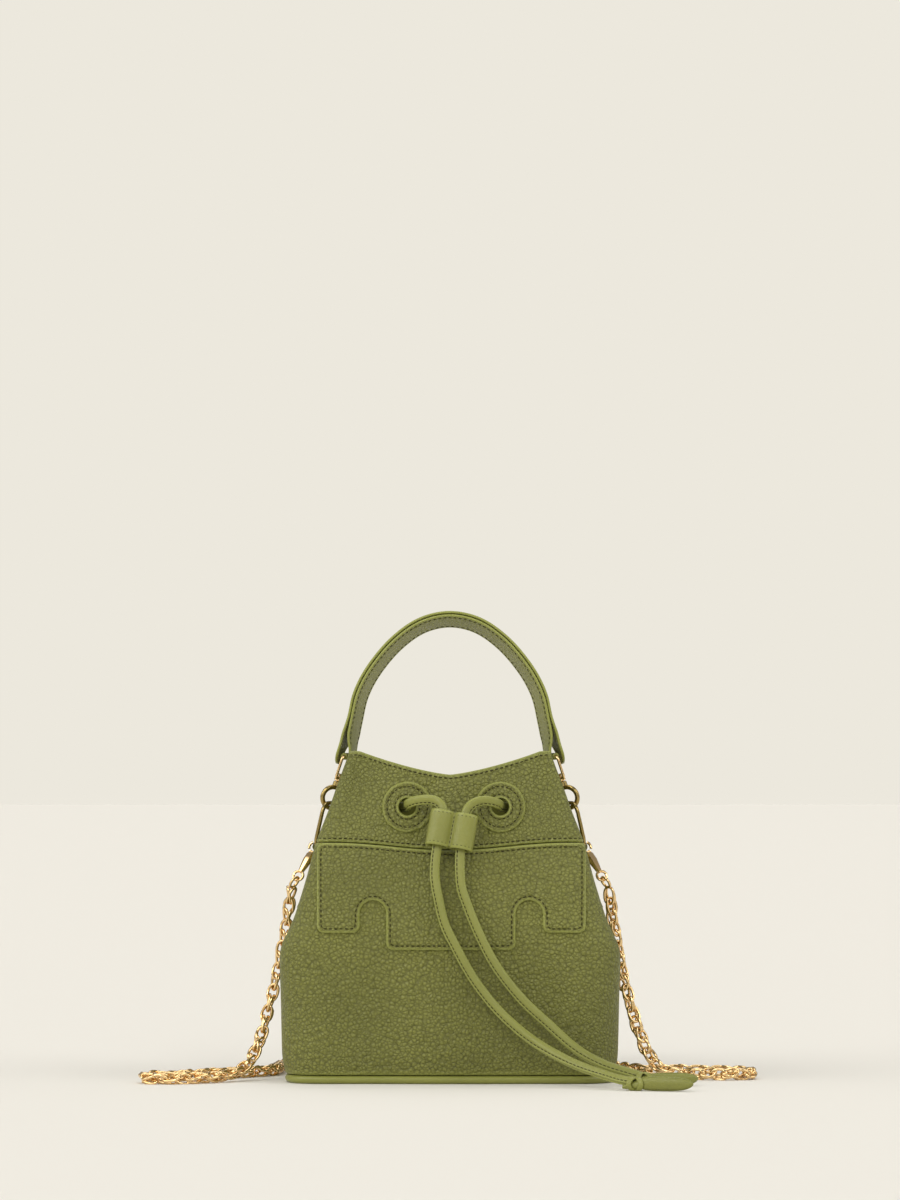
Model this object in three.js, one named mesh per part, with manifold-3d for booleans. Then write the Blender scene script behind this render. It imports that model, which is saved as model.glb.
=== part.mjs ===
// A leather bucket bag with a drawcord, a top handle on snap hooks and a chain shoulder strap.
// Millimetres, +Z up, +X to the right, the front faces -Y. The origin is on the floor under the
// centre of the base.

import * as THREE from 'three';
import { mergeVertices } from 'three/addons/utils/BufferGeometryUtils.js';
import Module from 'manifold-3d';

const wasm = await Module();
wasm.setup();

// ---------------------------------------------------------------- driving dimensions

const GAP = 0.3; // between pieces that touch
const LEATHER = 1.6; // body and yoke leather
const TRIM = 1.3; // overlay and eyelet leather
const TRIM_LIFT = 0.9; // glue line between trim and shell
const FACING = 1.2; // leather facing inside the mouth
const LINING = 0.8; // textile lining

const PIPING_HEIGHT = 4.8;
const SHELL_BOTTOM = PIPING_HEIGHT + GAP;
const SEAM_CENTRE = 132.6; // seam between body and yoke, at the front centre
const SEAM_RISE = 4.2; // the seam rises this much towards the corners
const SEAM_GAP = 0.5;
const RIM_CENTRE = 175.5; // the mouth's lowest point, at the front centre
const RIM_RISE = 13.5; // the corners of the mouth stand this much higher
const RIM_SHARPNESS = 1.3; // the power with which it rises towards them
const RIM_SIDE_DIP = 4; // the mouth dips again over the gusset
const FACING_BOTTOM = 141;

// Outline of the shell as (height, size) pairs. A smooth curve runs through each.
const HALF_WIDTH = [[0, 93.4], [6, 95], [16, 96.6], [45, 97.4], [71, 98.6], [77, 97.8], [85, 94],
  [94, 89.6], [107, 85.4], [121, 81.6], [135, 78.2], [155, 70.8], [168, 66.4], [180, 62.2], [190, 58.8]];
const HALF_DEPTH = [[0, 53.5], [6, 54.6], [16, 56.4], [50, 57.4], [76, 57], [100, 53.5], [135, 45],
  [165, 36], [190, 29]];
const GUSSET_CENTRE = [[0, 91.6], [6, 93.2], [16, 94.8], [40, 94.8], [60, 93.4], [76, 91], [98, 86],
  [115, 79], [134, 70], [150, 61.5], [161, 56.5], [175, 51], [190, 47]];
const CORNER_TANGENT = [[0, 26], [70, 23], [100, 17], [135, 13], [165, 11], [190, 10]];
const FRONT_BULGE = [[0, 0.4], [20, 1.6], [60, 2.6], [110, 2.4], [150, 1.6], [190, 1]];
const VALLEY_HALF_WIDTH = 12; // the rounded bottom of the gusset's valley

// Shares of the way from the front centre to the gusset centre
const CORNER_STARTS = 0.5;
const CORNER_ENDS = 0.74;

// Front overlay with its battlement lower edge
const OVERLAY = { left: -75.5, right: 77, tabBottom: 85.6, centreBottom: 76, notchTop: 104,
  notches: [[-51.3, -36.2], [37.2, 52.8]], corner: 4, flare: 4 };

const EYELET_Z = 157;
const EYELET_X = { front: [-24.4, 28.8], back: [-40, 40] }; // the back pair sits wider apart
const EYELET_OUTER = 14.4;
const EYELET_HOLE = 4.8;

const CORD = 4.4; // thickness of the folded leather drawcord

// ---------------------------------------------------------------- small helpers

const vec = (x, y, z) => new THREE.Vector3(x, y, z);
const lerp = THREE.MathUtils.lerp;
const radians = THREE.MathUtils.degToRad;

const group = new THREE.Group();

const finishes = {
  leather: { color: 0x7f833d, roughness: 0.6, metalness: 0 },
  edge: { color: 0x878c40, roughness: 0.5, metalness: 0 },
  lining: { color: 0x8d8254, roughness: 0.9, metalness: 0 },
  board: { color: 0xa08c68, roughness: 0.9, metalness: 0 },
  gold: { color: 0xd6a15a, roughness: 0.2, metalness: 1 },
  antique: { color: 0x9c7c3e, roughness: 0.3, metalness: 1 },
};

function addPart(name, geometry, finish) {
  const mesh = new THREE.Mesh(geometry, new THREE.MeshStandardMaterial(finishes[finish]));
  mesh.name = name;
  group.add(mesh);
  return mesh;
}

// A monotone cubic curve through (place, value) pairs
function smoothThrough(pairs) {
  const slopes = pairs.slice(1).map(([x, y], i) => (y - pairs[i][1]) / (x - pairs[i][0]));
  const tangents = pairs.map((_, i) => {
    if (i === 0 || i === pairs.length - 1) return slopes[Math.min(i, slopes.length - 1)];
    const [before, after] = [slopes[i - 1], slopes[i]];
    return before * after <= 0 ? 0 : (2 * before * after) / (before + after);
  });
  return (x) => {
    let i = 0;
    while (i < pairs.length - 2 && x > pairs[i + 1][0]) i += 1;
    const [x0, y0] = pairs[i];
    const [x1, y1] = pairs[i + 1];
    const h = x1 - x0;
    const t = THREE.MathUtils.clamp((x - x0) / h, 0, 1);
    const t2 = t * t;
    const t3 = t2 * t;
    return y0 * (2 * t3 - 3 * t2 + 1) + tangents[i] * h * (t3 - 2 * t2 + t)
      + y1 * (3 * t2 - 2 * t3) + tangents[i + 1] * h * (t3 - t2);
  };
}

// A closed mesh from points and triangles, turned so that its faces point outwards
function closedGeometry(points, triangles) {
  let volume = 0;
  for (const [a, b, c] of triangles) {
    volume += points[a].dot(vec(0, 0, 0).crossVectors(points[b], points[c])) / 6;
  }
  const ordered = volume > 0 ? triangles : triangles.map(([a, b, c]) => [a, c, b]);
  const geometry = new THREE.BufferGeometry().setFromPoints(points);
  geometry.setIndex(ordered.flat());
  return geometry;
}

// A solid slab between two grids of points. near(i, j) and far(i, j) give its two sides.
function slab(columns, rows, near, far, closed = false) {
  const points = [];
  const across = closed ? columns : columns + 1;
  for (const side of [near, far]) {
    for (let j = 0; j <= rows; j += 1) {
      for (let i = 0; i < across; i += 1) points.push(side(i / columns, j / rows));
    }
  }
  const index = (side, i, j) => side * across * (rows + 1) + j * across + (i % across);
  const triangles = [];
  const quad = (a, b, c, d) => triangles.push([a, b, c], [a, c, d]);
  for (let i = 0; i < columns; i += 1) {
    for (let j = 0; j < rows; j += 1) {
      quad(index(0, i, j), index(0, i + 1, j), index(0, i + 1, j + 1), index(0, i, j + 1));
      quad(index(1, i, j + 1), index(1, i + 1, j + 1), index(1, i + 1, j), index(1, i, j));
    }
    quad(index(1, i, 0), index(1, i + 1, 0), index(0, i + 1, 0), index(0, i, 0));
    quad(index(0, i, rows), index(0, i + 1, rows), index(1, i + 1, rows), index(1, i, rows));
  }
  if (!closed) {
    for (let j = 0; j < rows; j += 1) {
      quad(index(0, 0, j), index(0, 0, j + 1), index(1, 0, j + 1), index(1, 0, j));
      quad(index(1, columns, j), index(1, columns, j + 1), index(0, columns, j + 1),
        index(0, columns, j));
    }
  }
  return closedGeometry(points, triangles);
}

// A solid through rings of points. Open ends are capped; a closed loop joins up with itself.
function loft(rings, loop = false) {
  const sides = rings[0].length;
  const points = rings.flat();
  const triangles = [];
  const at = (ring, side) => (ring % rings.length) * sides + (side % sides);
  for (let r = 0; r < (loop ? rings.length : rings.length - 1); r += 1) {
    for (let s = 0; s < sides; s += 1) {
      triangles.push([at(r, s), at(r, s + 1), at(r + 1, s + 1)], [at(r, s), at(r + 1, s + 1), at(r + 1, s)]);
    }
  }
  if (!loop) {
    const last = rings.length - 1;
    for (let s = 1; s < sides - 1; s += 1) {
      triangles.push([at(0, 0), at(0, s + 1), at(0, s)], [at(last, 0), at(last, s), at(last, s + 1)]);
    }
  }
  return closedGeometry(points, triangles);
}

// A round tube along a curve, with flat ends
function tube(curve, radius, steps, sides = 8) {
  const section = new THREE.Shape();
  for (let i = 0; i < sides; i += 1) {
    const angle = (2 * Math.PI * i) / sides;
    const place = [radius * Math.cos(angle), radius * Math.sin(angle)];
    if (i === 0) section.moveTo(...place);
    else section.lineTo(...place);
  }
  return new THREE.ExtrudeGeometry(section, { steps, bevelEnabled: false, extrudePath: curve });
}

// A round wire bent into a closed loop that lies in the plane of axes u and v
function wireLoop(centre, u, v, outline, radius, sides = 8) {
  const normal = vec(0, 0, 0).crossVectors(u, v).normalize();
  const rings = outline.map(({ place, outward }) => {
    const at = centre.clone().addScaledVector(u, place.x).addScaledVector(v, place.y);
    const out = u.clone().multiplyScalar(outward.x).addScaledVector(v, outward.y);
    return Array.from({ length: sides }, (_, i) => {
      const angle = (2 * Math.PI * (i + 0.5)) / sides;
      return at.clone().addScaledVector(out, radius * Math.cos(angle))
        .addScaledVector(normal, radius * Math.sin(angle));
    });
  });
  return loft(rings, true);
}

// The outline of a rounded rectangle as places with their outward directions
function roundedOutline(halfWidth, halfHeight, radius, perCorner = 5) {
  const outline = [];
  const corners = [[1, 1], [-1, 1], [-1, -1], [1, -1]];
  corners.forEach(([sx, sy], quarter) => {
    for (let i = 0; i < perCorner; i += 1) {
      const angle = (Math.PI / 2) * (quarter + i / (perCorner - 1));
      const outward = new THREE.Vector2(Math.cos(angle), Math.sin(angle));
      const centre = new THREE.Vector2(sx * (halfWidth - radius), sy * (halfHeight - radius));
      outline.push({ place: centre.addScaledVector(outward, radius), outward });
    }
  });
  return outline;
}

// ---------------------------------------------------------------- joining and cutting

function toSolid(geometry, matrix = new THREE.Matrix4()) {
  const bare = geometry.clone().applyMatrix4(matrix);
  bare.deleteAttribute('normal');
  bare.deleteAttribute('uv');
  const merged = mergeVertices(bare, 1e-4);
  return new wasm.Manifold(new wasm.Mesh({
    numProp: 3,
    vertProperties: new Float32Array(merged.attributes.position.array),
    triVerts: new Uint32Array(merged.index.array),
  }));
}

function fromSolid(solid) {
  const mesh = solid.getMesh();
  const geometry = new THREE.BufferGeometry();
  geometry.setAttribute('position', new THREE.BufferAttribute(new Float32Array(mesh.vertProperties), 3));
  geometry.setIndex(new THREE.BufferAttribute(new Uint32Array(mesh.triVerts), 1));
  return geometry;
}

const cut = (base, ...tools) => fromSolid(tools.reduce((s, t) => s.subtract(toSolid(t)), toSolid(base)));
const join = (base, ...more) => fromSolid(more.reduce((s, t) => s.add(toSolid(t)), toSolid(base)));
const common = (a, b) => fromSolid(toSolid(a).intersect(toSolid(b)));

// A cylinder from one point to another
function rod(from, to, radius, sides = 16, endRadius = radius) {
  const along = to.clone().sub(from);
  const geometry = new THREE.CylinderGeometry(endRadius, radius, along.length(), sides);
  const turn = new THREE.Quaternion().setFromUnitVectors(vec(0, 1, 0), along.clone().normalize());
  return geometry.applyQuaternion(turn).translate(...from.clone().lerp(to, 0.5).toArray());
}

// ---------------------------------------------------------------- the shell's outline

const halfWidth = smoothThrough(HALF_WIDTH);
const halfDepth = smoothThrough(HALF_DEPTH);
const gussetCentre = smoothThrough(GUSSET_CENTRE);
const cornerTangent = smoothThrough(CORNER_TANGENT);
const frontBulge = smoothThrough(FRONT_BULGE);

// A quadratic curve between two points, pulled towards a third
function bend(a, pull, b, t) {
  const keep = 1 - t;
  return [0, 1].map((k) => keep * keep * a[k] + 2 * keep * t * pull[k] + t * t * b[k]);
}

// A quarter of the shell's section at height z: share 0 is the front centre, 1 the gusset centre.
// Gives x and the distance in front of the centre plane.
function quarterSection(share, z) {
  const depth = halfDepth(z);
  const middle = gussetCentre(z);
  const tangent = cornerTangent(z);
  const lean = Math.max(0, (halfWidth(z) - middle) / Math.hypot(halfWidth(z) - middle, depth));
  const cornerX = halfWidth(z) + (tangent * lean) / (1 + lean);
  const corner = [cornerX, depth];
  const valley = [middle, VALLEY_HALF_WIDTH];
  const run = Math.hypot(corner[0] - valley[0], corner[1] - valley[1]);
  const cornerEnd = [0, 1].map((k) => lerp(corner[k], valley[k], tangent / run));
  const frontEnd = cornerX - tangent;
  if (share <= CORNER_STARTS) {
    const x = (frontEnd * share) / CORNER_STARTS;
    return [x, depth + frontBulge(z) * Math.cos((Math.PI * x) / (2 * frontEnd)) ** 2];
  }
  if (share <= CORNER_ENDS) {
    const t = (share - CORNER_STARTS) / (CORNER_ENDS - CORNER_STARTS);
    return bend([frontEnd, depth], corner, cornerEnd, t);
  }
  const t = (share - CORNER_ENDS) / (1 - CORNER_ENDS);
  const turn = [0, 1].map((k) => lerp(cornerEnd[k], valley[k], 0.6));
  if (t < 0.4) return [0, 1].map((k) => lerp(cornerEnd[k], turn[k], t / 0.4));
  return bend(turn, valley, [middle, 0], (t - 0.4) / 0.6);
}

// A point of the shell, some way in from its outer face. Around runs from 0 at the right gusset
// centre, past the front at 1/4 and the left gusset at 1/2, to the back at 3/4.
function shellPoint(around, z, inwards) {
  const outline = (a) => {
    const turn = ((a % 1) + 1) % 1;
    const front = turn < 0.5;
    const half = front ? turn * 2 : 2 - turn * 2;
    const [x, out] = quarterSection(Math.abs(2 * half - 1), z);
    return [half < 0.5 ? x : -x, front ? -out : out];
  };
  const step = 0.002;
  const [x, y] = outline(around);
  const before = outline(around - step);
  const after = outline(around + step);
  const along = [after[0] - before[0], after[1] - before[1]];
  const length = Math.hypot(...along);
  return vec(x + (along[1] / length) * inwards, y - (along[0] / length) * inwards, z);
}

const shareOf = (around) => Math.abs(2 * ((around * 2) % 1) - 1); // 0 front or back, 1 gusset

function seamHeight(around) {
  const share = Math.min(shareOf(around) / CORNER_STARTS, 1);
  return SEAM_CENTRE + SEAM_RISE * Math.sin((Math.PI / 2) * share) ** 2;
}

function rimHeight(around) {
  const share = shareOf(around);
  const front = Math.min(share / CORNER_STARTS, 1) ** RIM_SHARPNESS;
  const side = Math.sin((Math.PI / 2) * Math.max(0, (share - CORNER_ENDS) / (1 - CORNER_ENDS))) ** 2;
  return RIM_CENTRE + RIM_RISE * front - RIM_SIDE_DIP * side;
}

// A stretch of the shell's wall between two places around, two heights and two depths
function wall({ from, to, columns, rows, low, high, near, far }) {
  const at = (inwards) => (i, j) => {
    const around = lerp(from, to, i);
    return shellPoint(around, lerp(low(around), high(around), j), inwards);
  };
  return slab(columns, rows, at(near), at(far), to - from === 1);
}

const height = (z) => () => z;

// ---------------------------------------------------------------- shell panels

function addPanels() {
  const sides = { front: [0, 0.5], back: [0.5, 1] };
  const seam = 0.0012; // half the gap at the side seams, as a share of the way round
  for (const [side, [start, end]] of Object.entries(sides)) {
    const reach = { from: start + seam, to: end - seam, columns: 28, near: 0, far: LEATHER };
    addPart(`${side}_body_panel`, wall({ ...reach, rows: 6, low: height(SHELL_BOTTOM),
      high: (a) => seamHeight(a) - SEAM_GAP / 2 }), 'leather');
    const yoke = wall({ ...reach, rows: 4, low: (a) => seamHeight(a) + SEAM_GAP / 2, high: rimHeight });
    addPart(`${side}_yoke`, cut(yoke, ...eyeletHoles(side)), 'leather');
  }
}

function eyeletHoles(side, radius = EYELET_HOLE, sides = 16) {
  const outward = side === 'front' ? -1 : 1;
  return EYELET_X[side].map((x) => rod(vec(x, outward * 20, EYELET_Z), vec(x, outward * 60, EYELET_Z),
    radius, sides));
}

function addInside() {
  const depth = LEATHER + 1; // the facing and lining hang a little loose inside the leather
  const ring = { from: 0, to: 1, columns: 56 };
  const facing = wall({ ...ring, rows: 2, low: height(FACING_BOTTOM), high: rimHeight,
    near: depth, far: depth + FACING });
  addPart('mouth_facing', cut(facing, ...eyeletHoles('front'), ...eyeletHoles('back')), 'leather');

  const floorTop = 7.2;
  const slack = depth + 1.2;
  const side = wall({ ...ring, columns: 40, rows: 4, low: height(floorTop - LINING),
    high: height(FACING_BOTTOM - GAP), near: slack, far: slack + LINING });
  const outline = Array.from({ length: 40 }, (_, i) => shellPoint(i / 40, floorTop, slack + LINING / 2));
  addPart('textile_lining', join(side, plate(outline, floorTop - LINING, LINING)), 'lining');
  const board = Array.from({ length: 40 }, (_, i) => shellPoint(i / 40, 5, depth + 2));
  addPart('base_board', plate(board, 4.4, 1.6), 'board');
}

// A flat plate with the given outline
function plate(outline, bottom, thickness) {
  const shape = new THREE.Shape(outline.map((p) => new THREE.Vector2(p.x, p.y)));
  return new THREE.ExtrudeGeometry(shape, { depth: thickness, bevelEnabled: false, steps: 1 })
    .translate(0, 0, bottom);
}

function addBase() {
  const radius = PIPING_HEIGHT / 2;
  const count = 40;
  const inset = 0.2;
  const rings = Array.from({ length: count }, (_, i) => {
    const outer = shellPoint(i / count, SHELL_BOTTOM, 0);
    const inner = shellPoint(i / count, SHELL_BOTTOM, radius * 2);
    const out = outer.clone().sub(inner).normalize();
    const centre = outer.clone().addScaledVector(out, -radius + inset).setZ(radius);
    return Array.from({ length: 8 }, (_unused, s) => {
      const angle = (2 * Math.PI * (s + 0.5)) / 8;
      const reach = radius / Math.cos(Math.PI / 8);
      return centre.clone().addScaledVector(out, reach * Math.cos(angle))
        .setZ(radius + reach * Math.sin(angle));
    });
  });
  addPart('base_piping', loft(rings, true), 'edge');
  const outline = Array.from({ length: 40 }, (_, i) => shellPoint(i / 40, SHELL_BOTTOM, 2 * radius + 0.6));
  addPart('base_panel', plate(outline, 0, 4), 'leather');
}

// ---------------------------------------------------------------- overlays and eyelets

function battlement() {
  const { left, right, tabBottom, centreBottom, notchTop, notches, corner, flare } = OVERLAY;
  const top = SEAM_CENTRE + SEAM_RISE + 4;
  const [[a, b], [c, d]] = notches;
  const quarter = (shape, x, z, radius, start, end) => shape.absarc(x, z, radius, start, end, start > end);
  const [west, down, east] = [Math.PI, -Math.PI / 2, 0];
  const shape = new THREE.Shape().moveTo(right, top).lineTo(left, top);
  quarter(shape, left + corner, tabBottom + corner, corner, west, 1.5 * Math.PI);
  quarter(shape, a - flare, tabBottom + flare, flare, down, east);
  quarter(shape, (a + b) / 2, notchTop - (b - a) / 2, (b - a) / 2, west, east);
  quarter(shape, b + corner, centreBottom + corner, corner, west, 1.5 * Math.PI);
  quarter(shape, c - corner, centreBottom + corner, corner, down, east);
  quarter(shape, (c + d) / 2, notchTop - (d - c) / 2, (d - c) / 2, west, east);
  quarter(shape, d + flare, tabBottom + flare, flare, west, 1.5 * Math.PI);
  quarter(shape, right - corner, tabBottom + corner, corner, down, east);
  const points = shape.getPoints(3);
  return new THREE.Shape(points.filter((p, i) => i === 0 || p.distanceTo(points[i - 1]) > 0.01));
}

function addOverlays() {
  const cutter = new THREE.ExtrudeGeometry(battlement(), { depth: 80, bevelEnabled: false })
    .rotateX(Math.PI / 2);
  const reach = { columns: 18, rows: 4, low: height(70), high: (a) => seamHeight(a) - SEAM_GAP / 2,
    near: -TRIM_LIFT - TRIM, far: -TRIM_LIFT };
  addPart('front_overlay', common(wall({ ...reach, from: 0.07, to: 0.43 }), cutter), 'leather');
  const back = wall({ ...reach, from: 0.57, to: 0.93 });
  addPart('back_overlay', common(back, cutter.clone().translate(0, 80, 0)), 'leather');
}

function addEyelets() {
  const names = ['left', 'right'];
  for (const [side, start] of [['front', 0.12], ['back', 0.62]]) {
    EYELET_X[side].forEach((x, i) => {
      const outward = side === 'front' ? -1 : 1;
      const ends = [vec(x, outward * 20, EYELET_Z), vec(x, outward * 60, EYELET_Z)];
      const skin = wall({ from: start, to: start + 0.26, columns: 16, rows: 4, near: -TRIM_LIFT - TRIM,
        far: -TRIM_LIFT, low: height(EYELET_Z - 16), high: height(EYELET_Z + 16) });
      const disc = common(skin, rod(...ends, EYELET_OUTER, 24));
      addPart(`${side}_eyelet_${names[i]}`, cut(disc, rod(...ends, EYELET_HOLE, 16)), 'leather');
    });
  }
}

// ---------------------------------------------------------------- drawcord and slider

const SLIDER = { bottom: [-0.8, -57, 133.5], leanBack: 12, leanRight: 10, height: 21, radius: 6.9,
  wall: 1.7, spread: 6.7, flatten: 0.8 };

// The neck of the drawcord, from inside the slider round through all four eyelets and back
const NECK_LEFT = [[-5.65, -54.9, 144.9], [-4.5, -53.6, 151.5], [-4.6, -52.2, 156.8], [-8.5, -50, 160.4],
  [-14.5, -48.2, 161], [-20.3, -46.2, 160.2], [-23.8, -42.6, 158.6], [-24.6, -37.5, 157.3],
  [-26.2, -32.6, 156.8], [-31, -26.5, 157], [-38.5, -18, 157], [-43, -9, 157.5], [-44.8, 0, 157.5],
  [-44.8, 9, 157.5], [-43, 18, 157], [-40.8, 26, 157], [-40.1, 32, 157], [-40, 37, 157],
  [-38.8, 41.6, 157], [-34.4, 45.2, 157], [-26, 46.4, 157], [-10, 46.8, 157]];
const NECK_RIGHT = [[10, 46.8, 157], [26, 46.4, 157], [34.4, 45.2, 157], [38.8, 41.6, 157], [40, 37, 157],
  [40.1, 32, 157], [40.8, 26, 157], [43, 18, 157], [45, 9, 157.5], [45.4, 0, 157.5], [43.8, -9, 157.5],
  [40.5, -18, 157], [35.5, -26, 157], [30.6, -32.6, 156.8], [28.9, -37.5, 157.2], [28, -42.6, 158.4],
  [24.6, -46.2, 159.8], [18.6, -48.2, 160.4], [13, -50, 158.6], [9.6, -52, 154.6], [8.7, -53.6, 149],
  [7.55, -54.9, 142.5]];

// The free tails, from inside the slider down the front and out over the floor
const TAIL_LEFT = [[-5.75, -55, 144.4], [-7.4, -57, 134.7], [-8.6, -59.2, 124], [-8.6, -60.9, 116],
  [-7.2, -62.8, 107.5], [-3.2, -64.8, 91], [3.6, -65.9, 77], [13.6, -66.2, 59.4], [27.8, -67.2, 41.6],
  [45.9, -72, 26], [67.2, -84, 14.4], [84, -95, 8.6], [94.8, -103.6, 5.8]];
const TAIL_RIGHT = [[7.45, -55, 142], [5.8, -57, 132.3], [5.5, -59.6, 121], [6.4, -61.5, 111],
  [9.6, -63, 101.5], [16.4, -64.9, 85], [26, -66, 67], [40, -66.6, 49], [54.4, -67.2, 35.4],
  [71.6, -71, 20.4], [86, -75, 12.6], [100.4, -76.4, 8]];

const curveOf = (points) => new THREE.CatmullRomCurve3(points.map((p) => vec(...p)), false, 'centripetal');

function addDrawcord() {
  addPart('drawcord_neck', tube(curveOf([...NECK_LEFT, ...NECK_RIGHT]), CORD / 2, 56), 'leather');
  addPart('drawcord_tail_left', tube(curveOf(TAIL_LEFT), CORD / 2, 24), 'leather');
  addPart('drawcord_tail_right', tube(curveOf(TAIL_RIGHT), CORD / 2, 24), 'leather');
  addPart('cord_slider', cordSlider(), 'leather');
}

// Two flattened leather tubes side by side
function cordSlider() {
  const { bottom, leanBack, leanRight, height: tall, radius, wall: skin, spread, flatten } = SLIDER;
  const bar = (side, r, more) => rod(vec(side * spread, 0, -more), vec(side * spread, 0, tall + more), r, 20)
    .scale(1, flatten, 1);
  const body = join(bar(-1, radius, 0), bar(1, radius, 0));
  const slider = cut(body, bar(-1, radius - skin, 1), bar(1, radius - skin, 1));
  return slider.rotateX(radians(-leanBack)).rotateY(radians(leanRight)).translate(...bottom);
}

// A plump leaf-shaped pull lying on its edge, and the wrapped knot that holds it to its tail
function addPull(side, knot, tip, knotSize, leaf) {
  const along = tip.clone().sub(knot).setZ(0).normalize();
  const across = vec(-along.y, along.x, 0);
  const ball = new THREE.SphereGeometry(1, 14, 9)
    .scale(knotSize.long / 2, knotSize.wide / 2, knotSize.tall / 2);
  const turn = new THREE.Matrix4().makeBasis(along, across, vec(0, 0, 1));
  addPart(`pull_knot_${side}`, ball.applyMatrix4(turn).translate(...knot.toArray()), 'leather');
  const rings = Array.from({ length: 11 }, (_, i) => {
    const share = i / 10;
    const swell = Math.sin(Math.PI * (0.1 + 0.84 * share)) ** 0.7;
    const centre = knot.clone().addScaledVector(along, knotSize.long / 2 + GAP + leaf.long * share)
      .setZ(leaf.tall / 2 + 0.2);
    return Array.from({ length: 10 }, (_unused, s) => {
      const angle = (2 * Math.PI * s) / 10;
      return centre.clone().addScaledVector(across, (leaf.wide / 2) * swell * Math.cos(angle))
        .add(vec(0, 0, (leaf.tall / 2) * swell * Math.sin(angle)));
    });
  });
  addPart(`pull_leaf_${side}`, loft(rings), 'leather');
}

// ---------------------------------------------------------------- handle

const HANDLE_HALF = [[0, 266], [10.5, 264.5], [20, 260.5], [31.4, 251.8], [41, 241], [48, 230.4],
  [52.4, 220.4], [55.2, 208]]; // right half of the strap's centreline, x and z
const HANDLE = { width: 18, ply: 1.35, parting: 0.45 };
const HANDLE_TONGUE = [[59.4, 196], [62.6, 188.4], [64.6, 181.6]]; // the outer ply runs on, past the eye
const HANDLE_TAIL = [[57.4, 196], [57.4, 188.8]]; // the inner ply ends above the eye's rolled leather
const flareAt = (z) => radians(lerp(10, 20, THREE.MathUtils.smoothstep(z, 188, 200)));

const handlePath = (ending) => {
  const half = [...HANDLE_HALF, ...ending];
  const right = half.map(([x, z]) => vec(x, 0, z));
  const left = half.slice(1).map(([x, z]) => vec(-x, 0, z)).reverse();
  return new THREE.CatmullRomCurve3([...left, ...right], false, 'centripetal');
};

// One ply of the strap: its cross-section leans outwards at the front
function strapPly(curve, inner, outer) {
  const steps = 40;
  const rings = [];
  for (let i = 0; i <= steps; i += 1) {
    const t = i / steps;
    const at = curve.getPointAt(t);
    const tangent = curve.getTangentAt(t);
    const outward = vec(-tangent.z, 0, tangent.x).normalize();
    const flare = flareAt(at.z);
    const across = vec(0, -Math.cos(flare), 0).addScaledVector(outward, Math.sin(flare));
    const normal = vec(0, Math.sin(flare), 0).addScaledVector(outward, Math.cos(flare));
    const half = HANDLE.width / 2;
    rings.push([[half, outer], [-half, outer], [-half, inner], [half, inner]].map(([w, n]) => at.clone()
      .addScaledVector(across, w).addScaledVector(normal, n)));
  }
  return loft(rings);
}

function addHandle() {
  const { parting, ply } = HANDLE;
  addPart('handle_outer_ply', strapPly(handlePath(HANDLE_TONGUE), parting, parting + ply), 'leather');
  addPart('handle_inner_ply', strapPly(handlePath(HANDLE_TAIL), -parting - ply, -parting), 'leather');
}

// ---------------------------------------------------------------- side hardware, right side

const EYE_TOP = vec(60, 0, 186.2); // centre of the bar that the strap end folds round
const EYE_FOOT = vec(64.3, 0, 173.6); // centre of the bar with the swivel boss
const HOOK_REACH = 12; // from the boss to the middle of the hook
const HOOK_RADIUS = 6.2;
const HOOK_WIRE = 1.4;
const HOOK_TURN = radians(22); // the hook is turned this much out of the picture of the bag
const RING_TOP = vec(69.3, 0, 159.1);
const RING_FOOT = vec(75.8, 0, 133.8);
const RING_WIRE = 1;
const RING_HALF_WIDTH = 9;
const RING_CORNER = 6;
const RING_TURN = radians(20);
const TAB_HALF_WIDTH = 3.6;

const hookAxis = EYE_FOOT.clone().sub(EYE_TOP).normalize();
const hookCentre = EYE_FOOT.clone().addScaledVector(hookAxis, HOOK_REACH);
const hookSide = vec(-hookAxis.z, 0, hookAxis.x).applyAxisAngle(hookAxis, HOOK_TURN); // outwards
const ringAcross = vec(Math.sin(RING_TURN), -Math.cos(RING_TURN), 0);
const ringRise = RING_TOP.clone().sub(RING_FOOT);
const ringUp = ringRise.clone().addScaledVector(ringAcross, -ringRise.dot(ringAcross)).normalize();
const ringNormal = vec(0, 0, 0).crossVectors(ringAcross, ringUp);

const circle = (radius, count = 20) => Array.from({ length: count }, (_, i) => {
  const outward = new THREE.Vector2(Math.cos((2 * Math.PI * i) / count), Math.sin((2 * Math.PI * i) / count));
  return { place: outward.clone().multiplyScalar(radius), outward };
});

// An arc of wire around a centre; angles are measured from axis u towards axis v
function arcWire(centre, u, v, radius, wire, start, end, steps = 14) {
  const points = Array.from({ length: steps + 1 }, (_, i) => {
    const angle = lerp(start, end, i / steps);
    return centre.clone().addScaledVector(u, radius * Math.cos(angle))
      .addScaledVector(v, radius * Math.sin(angle));
  });
  return tube(new THREE.CatmullRomCurve3(points), wire, steps);
}

const along = (from, axis, distance) => from.clone().addScaledVector(axis, distance);

const EYE_TURN = radians(10);
const eyeAcross = vec(Math.sin(EYE_TURN), -Math.cos(EYE_TURN), 0);

// The rolled end of the strap round the eye's upper bar
function handleLoop() {
  const reach = (length, radius, sides) => rod(along(EYE_TOP, eyeAcross, -length),
    along(EYE_TOP, eyeAcross, length), radius, sides);
  return cut(reach(8, 2, 14), reach(16, 1.15, 12));
}

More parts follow.
